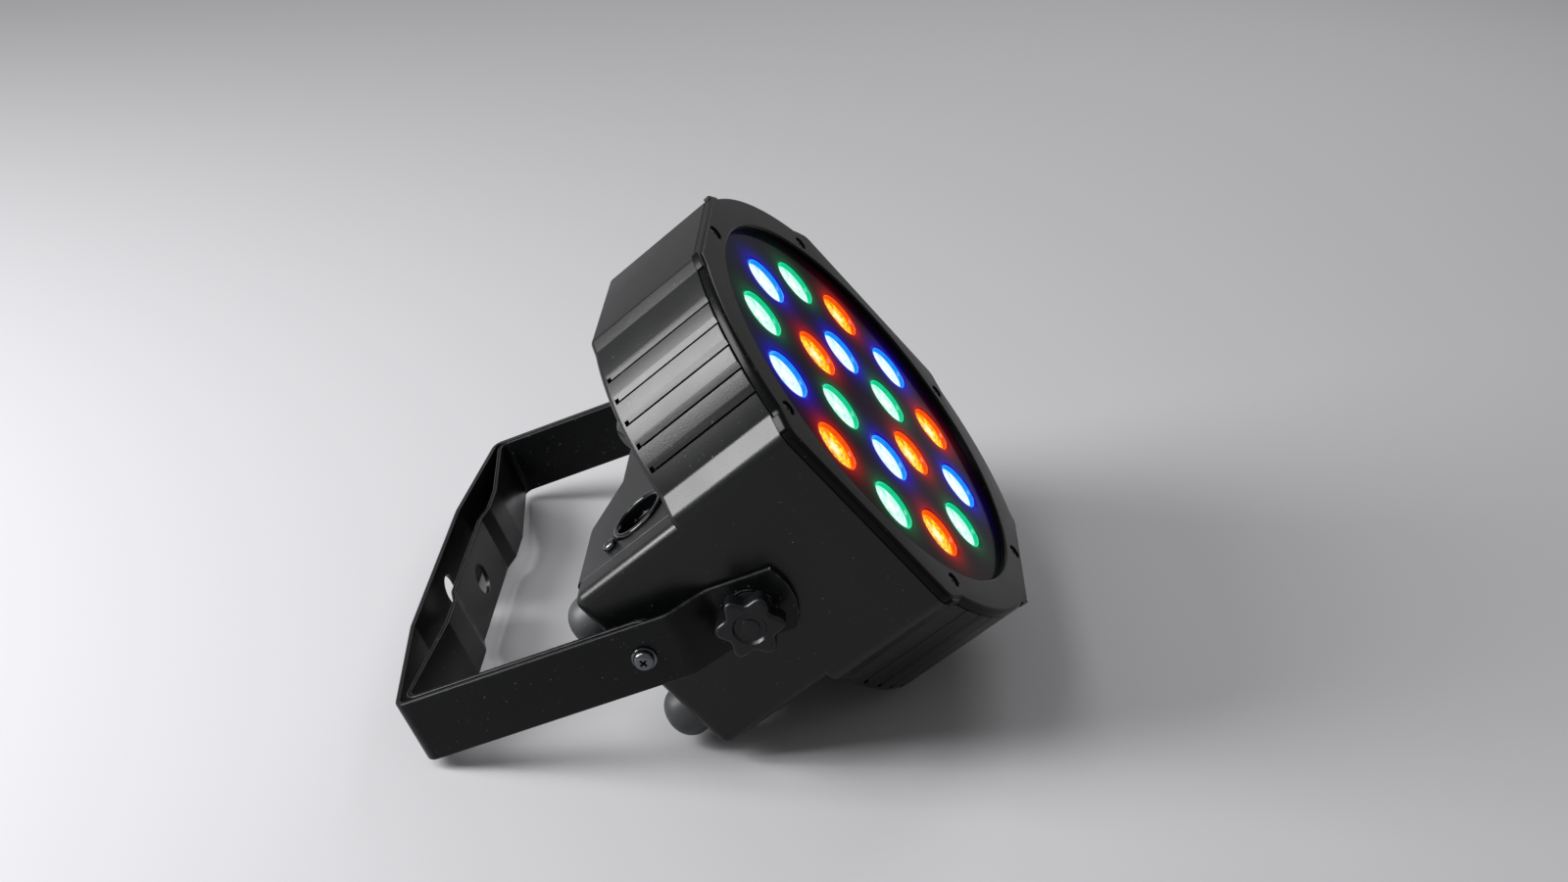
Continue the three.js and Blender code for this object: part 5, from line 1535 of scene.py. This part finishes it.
@dataclass
class ControlPanel:
    """The gloss panel in the sunk middle, with its display and four keys."""

    width: float = 31.0
    height: float = 62.0
    lip: float = 2.1  # round the panel's back and round the display's opening
    corner: float = 2.6
    floor: float = -34.5
    face: float = -36.3
    inner: float = -31.3
    display: Span = (21.0, 13.0)
    display_y: float = 13.0
    pane: float = 2.0  # thickness of the window
    key: float = 6.4
    key_proud: float = 1.7
    key_flange: float = 4.2  # radius
    digit_pitch: float = 4.1
    bar_x: float = 1.25  # from a digit's middle to its upright bars
    bar_y: float = 3.0  # between its level bars
    bar_half: float = 0.25

    def key_spots(self) -> list[Span]:
        """Gives the middles of the four keys."""
        return [(x, y) for y in (-5.0, -18.0) for x in (-6.5, 6.5)]

    def build(self) -> None:
        """Makes the panel, its window, its digits and its keys."""
        x, y, lip = self.width / 2, self.height / 2, self.lip
        panel = Solid.block(x, y, (self.face, self.floor - GAP), self.corner)
        panel.round_level(self.face, 0.5, 3)
        panel.joined(Solid.block(x - lip, y - lip, (self.face + 0.5, self.inner)))
        wide, high = [side / 2 for side in self.display]
        low, past = self.face - PAST, self.inner + PAST
        tools = [
            Solid.block(wide + GAP, high + GAP, (low, self.face + self.pane + GAP), 0.6),
            Solid.block(wide - lip, high - lip, (low, past)),
        ]
        keys = Solid.bar(self.key + 2 * GAP, low, past, 48).at(self.key_spots())
        panel.without(*[tool.moved(0, self.display_y) for tool in tools], *keys, crossing=True)
        Piece(
            "gloss_control_panel", "control_panel", POLISHED_ABS, "panel_gloss", edge=0.2,
            edge_angle=50,
        ).stand(panel)
        window = Solid.block(wide, high, (self.face, self.face + self.pane), 0.5)
        window.moved(0, self.display_y).round_level(self.face, 0.2, 2)
        Piece("smoked_window", "display_window", SMOKED_ACRYLIC, "smoked_window").stand(window)
        Piece("display_digits", "", UNLIT_SEGMENT, "smoked_window").stand(self.digits())
        half, top, foot = self.key / 2, self.face - self.key_proud, self.inner + GAP
        key = Solid.turned([
            (0, top + 0.35), (1.6, top + 0.18), (half - 0.5, top), (half - 0.15, top + 0.12),
            (half, top + 0.5), (half, foot), (self.key_flange, foot), (self.key_flange, foot + 1),
        ], 40)
        for i, shape in enumerate(key.at(self.key_spots())):
            Piece(
                f"key_{i + 1}", f"menu_button_{i + 1}", KEY_ABS, "button_grey",
                f"button_{i + 1}", smooth=40,
            ).stand(shape)

    def digits(self) -> Solid:
        """Makes the unlit bars of the four digits behind the window.

        Returns:
            The bars.
        """
        bars = []
        back = self.face + self.pane + 0.05
        depth = (back, back + 0.2)
        for i in range(4):
            middle = (i - 1.5) * self.digit_pitch
            level = Solid.block(1.0, self.bar_half, depth)
            upright = Solid.block(self.bar_half, 1.1, depth)
            bars += level.at([(middle, step * self.bar_y) for step in (-1, 0, 1)])
            bars += upright.at([
                (middle + side * self.bar_x, up * self.bar_y / 2) for side, up in QUARTERS
            ])
        return Solid().with_shells(bars).moved(0, self.display_y)


@dataclass
class ConnectorBox:
    """The removable cover with its sunk middle, its sockets and its feet."""

    half_width: float = 79.2
    wall: float = 2.5
    round: float = 2.5
    valley_depth: float = 14.0
    valley_mouth: float = 88.0
    valley_floor: float = 36.0
    socket_x: float = 60.0
    socket_z: float = -20.0
    socket_cut: Span = (-5.0, 2.0)
    screw_hole: float = 3.4
    foot_x: float = 76.0
    foot_y: float = 25.3
    foot: float = 10.0  # radius
    foot_height: float = 13.4
    foot_round: float = 7.4
    spigot: float = 2.5  # radius
    spigot_length: float = 6.0
    boss: float = 10.0
    boss_share: float = 0.96  # of the foot's X, which keeps the boss inside the cover

    def outline(self, inset: float) -> list[Span]:
        """Gives the cover's outline across the box, in X and Z.

        Args:
            inset: how far it is taken in.

        Returns:
            The corners.
        """
        slope = math.atan2(self.valley_depth, (self.valley_mouth - self.valley_floor) / 2)
        shift = inset * math.tan(slope / 2)
        x, back = self.half_width - inset, inset - BOX_BACK
        mouth, floor = self.valley_mouth / 2 + shift, self.valley_floor / 2 + shift
        front = PAST if inset > 0 else -GAP
        right = [(floor, back + self.valley_depth), (mouth, back), (x, back), (x, front)]
        return [(-x, z) for x, z in reversed(right)] + right

    def face_frame(self, side: int) -> Matrix:
        """Gives the frame of a socket face: Z out of the face, the sockets' row on X.

        Args:
            side: 1 for the label side, -1 for its opposite.

        Returns:
            The frame, in the head's millimetres.
        """
        place = Matrix.Translation((0, BOX_TOP if side > 0 else -BOX_BOTTOM, self.socket_z))
        return place @ Matrix.Rotation(-side * RIGHT_ANGLE, 4, "X")

    def build(self) -> None:
        """Makes the cover with everything on it."""
        self.cover()
        self.feet()
        for side in (1, -1):
            DataSocket(self.face_frame(side), -self.socket_x, side < 0).build()
            PowerSocket(self.face_frame(side), self.socket_x, side < 0).build()
        ControlPanel().build()

    def cover(self) -> None:
        """Makes the cover."""
        made = Solid.prism(self.outline(0), (-BOX_TOP, BOX_BOTTOM)).rotated("X", 90)

        def back_edge(ends: list[Vector]) -> bool:
            """Says whether an edge runs along the back of a socket face."""
            outer = at_level(ends, 1, BOX_TOP) or at_level(ends, 1, -BOX_BOTTOM)
            return outer and at_level(ends, 2, -BOX_BACK)

        made.round_edges(back_edge, self.round, 8)
        inside = (self.wall - BOX_TOP, BOX_BOTTOM - self.wall)
        made.without(Solid.prism(self.outline(self.wall), inside).rotated("X", 90))
        feet = four_corners(self.foot_x, self.foot_y)
        low, high = 2 * GAP - BOX_BACK, self.spigot_length - BOX_BACK
        boss = Solid.bar(self.boss, low, high + self.wall, 32)
        made.joined(*boss.at([(x * self.boss_share, y) for x, y in feet]))
        spigot = Solid.bar(2 * (self.spigot + GAP), -BOX_BACK - PAST, high, 32)
        floor = self.valley_depth - BOX_BACK
        window = Solid.block(
            ControlPanel.width / 2 - ControlPanel.lip + GAP,
            ControlPanel.height / 2 - ControlPanel.lip + GAP, (floor - PAST, floor + 5),
        )
        tools = [*spigot.at(feet), window]
        for side in (1, -1):
            tools += [hole.placed(self.face_frame(side)) for hole in self.socket_holes(side)]
        made.without(*tools, crossing=True)
        Piece(
            "connector_cover", "rear_cover", MOULDED_ABS, "housing_plastic", edge=0.3,
            edge_angle=30,
        ).stand(made)

    def socket_holes(self, side: int) -> list[Solid]:
        """Makes the cutters for the sockets of one face.

        Args:
            side: 1 for the label side, -1 for its opposite.

        Returns:
            The cutters, in the face's frame.
        """
        cut, (x, y) = self.socket_cut, DataSocket.screw_spot
        made = [Solid.bar(DataSocket.barrel + 2 * GAP, *cut, 96)]
        made += Solid.bar(self.screw_hole, *cut, 24).at([(x, -y), (-x, y)])
        if side < 0:
            made.append(DataSocket.tab_hole(cut))
        power = Solid.block(*[half + GAP for half in PowerSocket.body], cut, 1)
        return [hole.moved(-self.socket_x) for hole in made] + [power.moved(self.socket_x)]

    def feet(self) -> None:
        """Makes the four feet."""
        spigot, length = self.spigot, self.spigot_length - GAP
        foot = Solid.turned([
            (spigot - 0.4, -length), (spigot, 0.5 - length), (spigot, 0), (self.foot, 0),
            (self.foot, self.foot_height), (spigot - 0.1, self.foot_height + 0.1),
        ])
        foot.round_ring(self.foot, self.foot_height, self.foot_round, 16)
        foot.round_ring(self.foot, 0, 0.4, 2)
        foot.rotated("X", 180).moved(0, 0, -BOX_BACK - GAP)
        for i, shape in enumerate(foot.at(four_corners(self.foot_x, self.foot_y))):
            Piece(
                f"foot_{i + 1}", f"rubber_foot_{i + 1}", GREY_RUBBER, "foot_rubber", smooth=40
            ).stand(shape)


# Brackets


@dataclass
class Brackets:
    """The two nested steel brackets, with the screws and nuts that join them."""

    width: float = 26.0
    thickness: float = 2.0
    edge: float = 0.8
    tip: float = 16.0  # from the pivot to the end of the outer arms
    tip_rise: float = 4.0  # of the arms' curved ends
    side_screw_at: float = 40.0
    side_shank: float = 4.0
    mount_hole: float = 12.6
    outer_path: tuple[tuple[float, float, float], ...] = (
        (93.1, 16.0, 0.0), (93.1, -12.4, 8.0), (101.0, -26.4, 8.0), (101.0, -131.0, 4.0),
        (45.0, -138.3, 8.0),
    )
    inner_path: tuple[tuple[float, float, float], ...] = (
        (98.3, -27.0, 0.0), (98.3, -128.2, 4.0), (52.0, -121.9, 8.0), (36.0, -121.9, 4.0),
        (28.0, -124.4, 4.0),
    )
    reach: float = 112.0  # of the cutters, past the arms and below the crossbars
    low: float = -145.0
    screw_seat: float = 103.2
    nut: float = 7.0  # across its flats
    nut_z: Span = (93.8, 97.0)

    @property
    def side_hole(self) -> float:
        """The diameter of a hole that a side screw goes through."""
        return self.side_shank + 2 * GAP

    def strip(self, half: Sequence[tuple[float, float, float]]) -> Solid:
        """Bends a whole bracket from the path of its right half.

        Args:
            half: corners in X and Z, with the bend radius at each.

        Returns:
            The bent strip.
        """
        points = [*half, *[(-x, z, radius) for x, z, radius in reversed(half)]]
        path = [(x, z) for x, z, _ in points]
        radii = [radius for _, _, radius in points]
        return Solid.bent_strip(path, radii, self.width, self.thickness, self.edge)

    def across(self, diameter: float, height: float) -> Solid:
        """Makes a round bar through both arms at a height."""
        return Solid.bar(diameter, -self.reach, self.reach).rotated("Y", 90).moved(z=height)

    def build(self) -> None:
        """Makes both brackets and their fixings."""
        half, screw_at = self.width / 2, -self.side_screw_at
        end = (half ** 2 + self.tip_rise ** 2) / (2 * self.tip_rise)
        mount = Solid.bar(self.mount_hole, self.low, 0)
        blank = self.across(2 * end, self.tip - end)
        blank.joined(Solid.block(self.reach + 1, half + PAST, (self.low, 0)))
        outer = self.strip(self.outer_path).within(blank)
        outer.without(
            self.across(STUD_HOLE, 0), self.across(self.side_hole, screw_at), *mount.at([(0, 0)])
        )
        blank = self.across(self.width, screw_at)
        blank.joined(Solid.block(self.reach + 1, half, (self.low, screw_at)))
        inner = self.strip(self.inner_path).within(blank)
        inner.without(self.across(self.side_hole, screw_at), mount)
        for name, node, body, shape in (
            ("hanging_bracket", "mounting_bracket", "bracket", outer),
            ("swinging_bracket", "stand_bracket", "stand", inner),
        ):
            Piece(
                name, node, POWDER_COAT, "black_steel", body, BRACKET, edge=0.3, edge_angle=50
            ).stand(shape)
        for side, hand in zip(WAYS, ("left", "right")):
            self.fixing(side, hand)

    def fixing(self, side: int, hand: str) -> None:
        """Makes the side screw and the nut of one arm.

        Args:
            side: -1 or 1 along the tilt axis.
            hand: the side's name.
        """
        turn = Matrix.Rotation(side * RIGHT_ANGLE, 4, "Y")
        place = BRACKET @ Matrix.Translation((0, 0, -self.side_screw_at)) @ turn
        screw = Screw(7.4, 2.5, self.side_shank, 9.7, 1.8, washer=9.0, washer_depth=0.9).shape()
        Piece(
            f"side_screw_{hand}", f"bracket_screw_{hand}", ZINC_PLATE, "zinc", "bracket", place
        ).stand(screw.rotated("Z", 28).moved(z=self.screw_seat))
        low, high = self.nut_z
        nut = Solid.bar(self.nut / math.cos(math.pi / 6), low, high, 6)
        nut.within(Solid.turned(
            [(3.45, low), (4.1, low + 0.5), (4.1, high - 0.5), (3.45, high)], 48
        ))
        nut.without(Solid.bar(self.side_hole, low - PAST, high + PAST, 40))
        Piece(
            f"side_nut_{hand}", f"bracket_nut_{hand}", ZINC_PLATE, "zinc", "bracket", place,
            smooth=20,
        ).stand(nut)


@dataclass
class TiltKnob:
    """A lobed hand knob on a collar, with its stud and washer."""

    side: int
    hand: str
    diameter: float = 24.8
    valley: float = 3.2
    lobes: int = 6
    turn: float = 48.7  # degrees from the arm's line to the first lobe
    back: float = 95.7
    depth: float = 11.0
    round: float = 1.6
    back_round: float = 1.2
    collar: float = 17.0
    collar_depth: float = 3.6
    dish: float = 6.2  # radius of the sunk middle
    boss: float = 7.0
    stud_end: float = 80.5
    washer: float = 18.0
    washer_z: Span = (94.4, 95.4)

    def build(self) -> None:
        """Makes the knob and its washer."""
        place = BRACKET @ Matrix.Rotation(self.side * RIGHT_ANGLE, 4, "Y")
        low, high = self.back + self.collar_depth, self.back + self.depth
        grip = Solid.disc(self.diameter, low, 192)
        for vert in grip.mesh.verts:
            angle = math.atan2(vert.co.y, vert.co.x) - math.radians(self.turn)
            dip = self.valley * (0.5 - 0.5 * math.cos(self.lobes * angle))
            vert.co.xy *= 1 - dip / (self.diameter / 2)
        grip.raised(high - low)
        grip.round_level(high, self.round, 6).round_level(low, self.back_round, 4)
        grip.without(Solid.turned([
            (self.dish - 0.8, high - 1), (self.dish - 0.4, high - 0.5), (self.dish, high + SKIN),
            (self.dish, high + 3),
        ]))
        boss = Solid.bar(self.boss, high - 3, high - 0.5, 48)
        boss.round_ring(self.boss / 2, high - 0.5, 0.4, 3)
        stud = Solid.turned([
            (STUD / 2 - 0.6, self.stud_end), (STUD / 2, self.stud_end + 0.6), (STUD / 2, low + 3),
        ], 40)
        collar = Solid.bar(self.collar, self.back, low + 3)
        collar.round_ring(self.collar / 2, self.back, 0.4, 2)
        grip.joined(collar, boss, stud, crossing=True)
        Piece(
            f"lobed_knob_{self.hand}", f"tilt_knob_{self.hand}", KNOB_NYLON, "knob_plastic",
            f"knob_{self.hand}", place, smooth=26,
        ).stand(grip)
        start, stop = self.washer_z
        washer = Solid.bar(self.washer, start, stop).round_level(stop, 0.2, 2)
        washer.without(Solid.bar(STUD_HOLE, start - PAST, stop + PAST, 40))
        Piece(
            f"washer_{self.hand}", f"knob_washer_{self.hand}", ZINC_PLATE, "zinc", "bracket", place
        ).stand(washer)


@dataclass
class Innards:
    """The pieces inside the head, which keep their CAD shapes."""

    finishes: dict[str, Finish] = field(default_factory=lambda: {
        "led_board": WHITE_BOARD, "heat_sink": EXTRUDED_ALUMINIUM,
        "control_board": GREEN_BOARD, "power_board": GREEN_BOARD,
    })

    def build(self) -> None:
        """Gives each node its finish."""
        for node, finish in self.finishes.items():
            materials = frame["nodes"][node].data.materials
            materials.clear()
            materials.append(finish.material())
            LOG.info("%s: dressed", node)


# Studio


@dataclass
class Studio:
    """The pale floor, the soft lights and the camera at the photograph's angle."""

    camera_from_pivot: tuple[float, float, float] = (0.02241, -0.6327, 0.34339)
    right: tuple[float, float, float] = (0.9992, 0.0340, 0.0206)
    down: tuple[float, float, float] = (0.0339, -0.4569, -0.8888)
    lens: float = 42.26
    sensor: float = 36.0
    clip: Span = (0.01, 100.0)
    floor_size: float = 12.0
    floor_colour: str = "#b2b2b5"
    floor_roughness: float = 0.85
    aim: tuple[float, float, float] = (0.0, 0.0, 0.08)
    room_level: float = 0.25
    backdrop_level: float = 0.42

    def build(self) -> None:
        """Makes the camera, the floor, the lamps and the room."""
        self.camera()
        self.floor()
        self.lamps()
        self.room()
        bpy.context.scene.view_settings.view_transform = "Standard"

    def camera(self) -> None:
        """Places the camera."""
        data = bpy.data.cameras.new("camera")
        data.lens, data.sensor_width, data.sensor_fit = self.lens, self.sensor, "HORIZONTAL"
        data.clip_start, data.clip_end = self.clip
        made = bpy.data.objects.new("camera", data)
        x = Vector(self.right).normalized()
        y = -Vector(self.down)
        y = (y - x * y.dot(x)).normalized()
        turn = Matrix((x, y, x.cross(y))).transposed().to_4x4()
        place = Vector(PIVOT) + Vector(self.camera_from_pivot)
        made.matrix_world = Matrix.Translation(place) @ turn
        bpy.context.scene.collection.objects.link(made)
        bpy.context.scene.camera = made

    def floor(self) -> None:
        """Lays the floor."""
        plane = Solid()
        bmesh.ops.create_grid(plane.mesh, x_segments=1, y_segments=1, size=self.floor_size)
        made = plane.as_object("studio_floor")
        paper = bpy.data.materials.new("studio_paper")
        paper.use_nodes = True
        shader = paper.node_tree.nodes["Principled BSDF"]
        shader.inputs["Base Color"].default_value = linear(self.floor_colour)
        shader.inputs["Roughness"].default_value = self.floor_roughness
        made.data.materials.append(paper)

    def lamps(self) -> None:
        """Hangs three soft lamps."""
        for name, place, size, power in (
            ("key_lamp", (-1.02, -0.24, 0.62), 0.64, 22.0),
            ("back_lamp", (0.5, 1.1, 1.0), 0.7, 5.0),
            ("top_lamp", (-0.6, -0.24, 0.98), 0.5, 5.0),
        ):
            data = bpy.data.lights.new(name, "AREA")
            data.shape, data.size, data.energy = "DISK", size, power
            lamp = bpy.data.objects.new(name, data)
            turn = (Vector(self.aim) - Vector(place)).to_track_quat("-Z", "Y")
            lamp.matrix_world = Matrix.Translation(place) @ turn.to_matrix().to_4x4()
            lamp.visible_camera = False
            bpy.context.scene.collection.objects.link(lamp)

    def room(self) -> None:
        """Fills the room with plain light, and shows it paler behind the floor."""
        world = bpy.data.worlds.new("room")
        bpy.context.scene.world = world
        world.use_nodes = True
        tree = world.node_tree
        tree.nodes.clear()
        path = add_node(tree, "LightPath").outputs
        seen = path["Is Camera Ray"]
        for kind in ("Is Glossy Ray", "Is Transmission Ray"):
            seen = reckon(tree, "MAXIMUM", seen, path[kind])
        level = ranged(tree, seen, 0.0, 1.0, self.room_level, self.backdrop_level)
        white = {"Color": linear("#ffffff"), "Strength": level}
        light = add_node(tree, "Background", white)
        add_node(tree, "OutputWorld", {"Surface": light.outputs[0]})


def main() -> None:
    """Builds the light from its sub-assemblies and sets the studio round it."""
    logging.basicConfig(level=logging.INFO, format="%(name)s: %(message)s")
    outline = HeadOutline()
    Studio().build()
    Housing(outline).build()
    Bezel(outline).build()
    LensArray().build()
    ConnectorBox().build()
    Brackets().build()
    for side, hand in zip(WAYS, ("left", "right")):
        TiltKnob(side, hand).build()
    Innards().build()


if __name__ == "__main__":
    main()
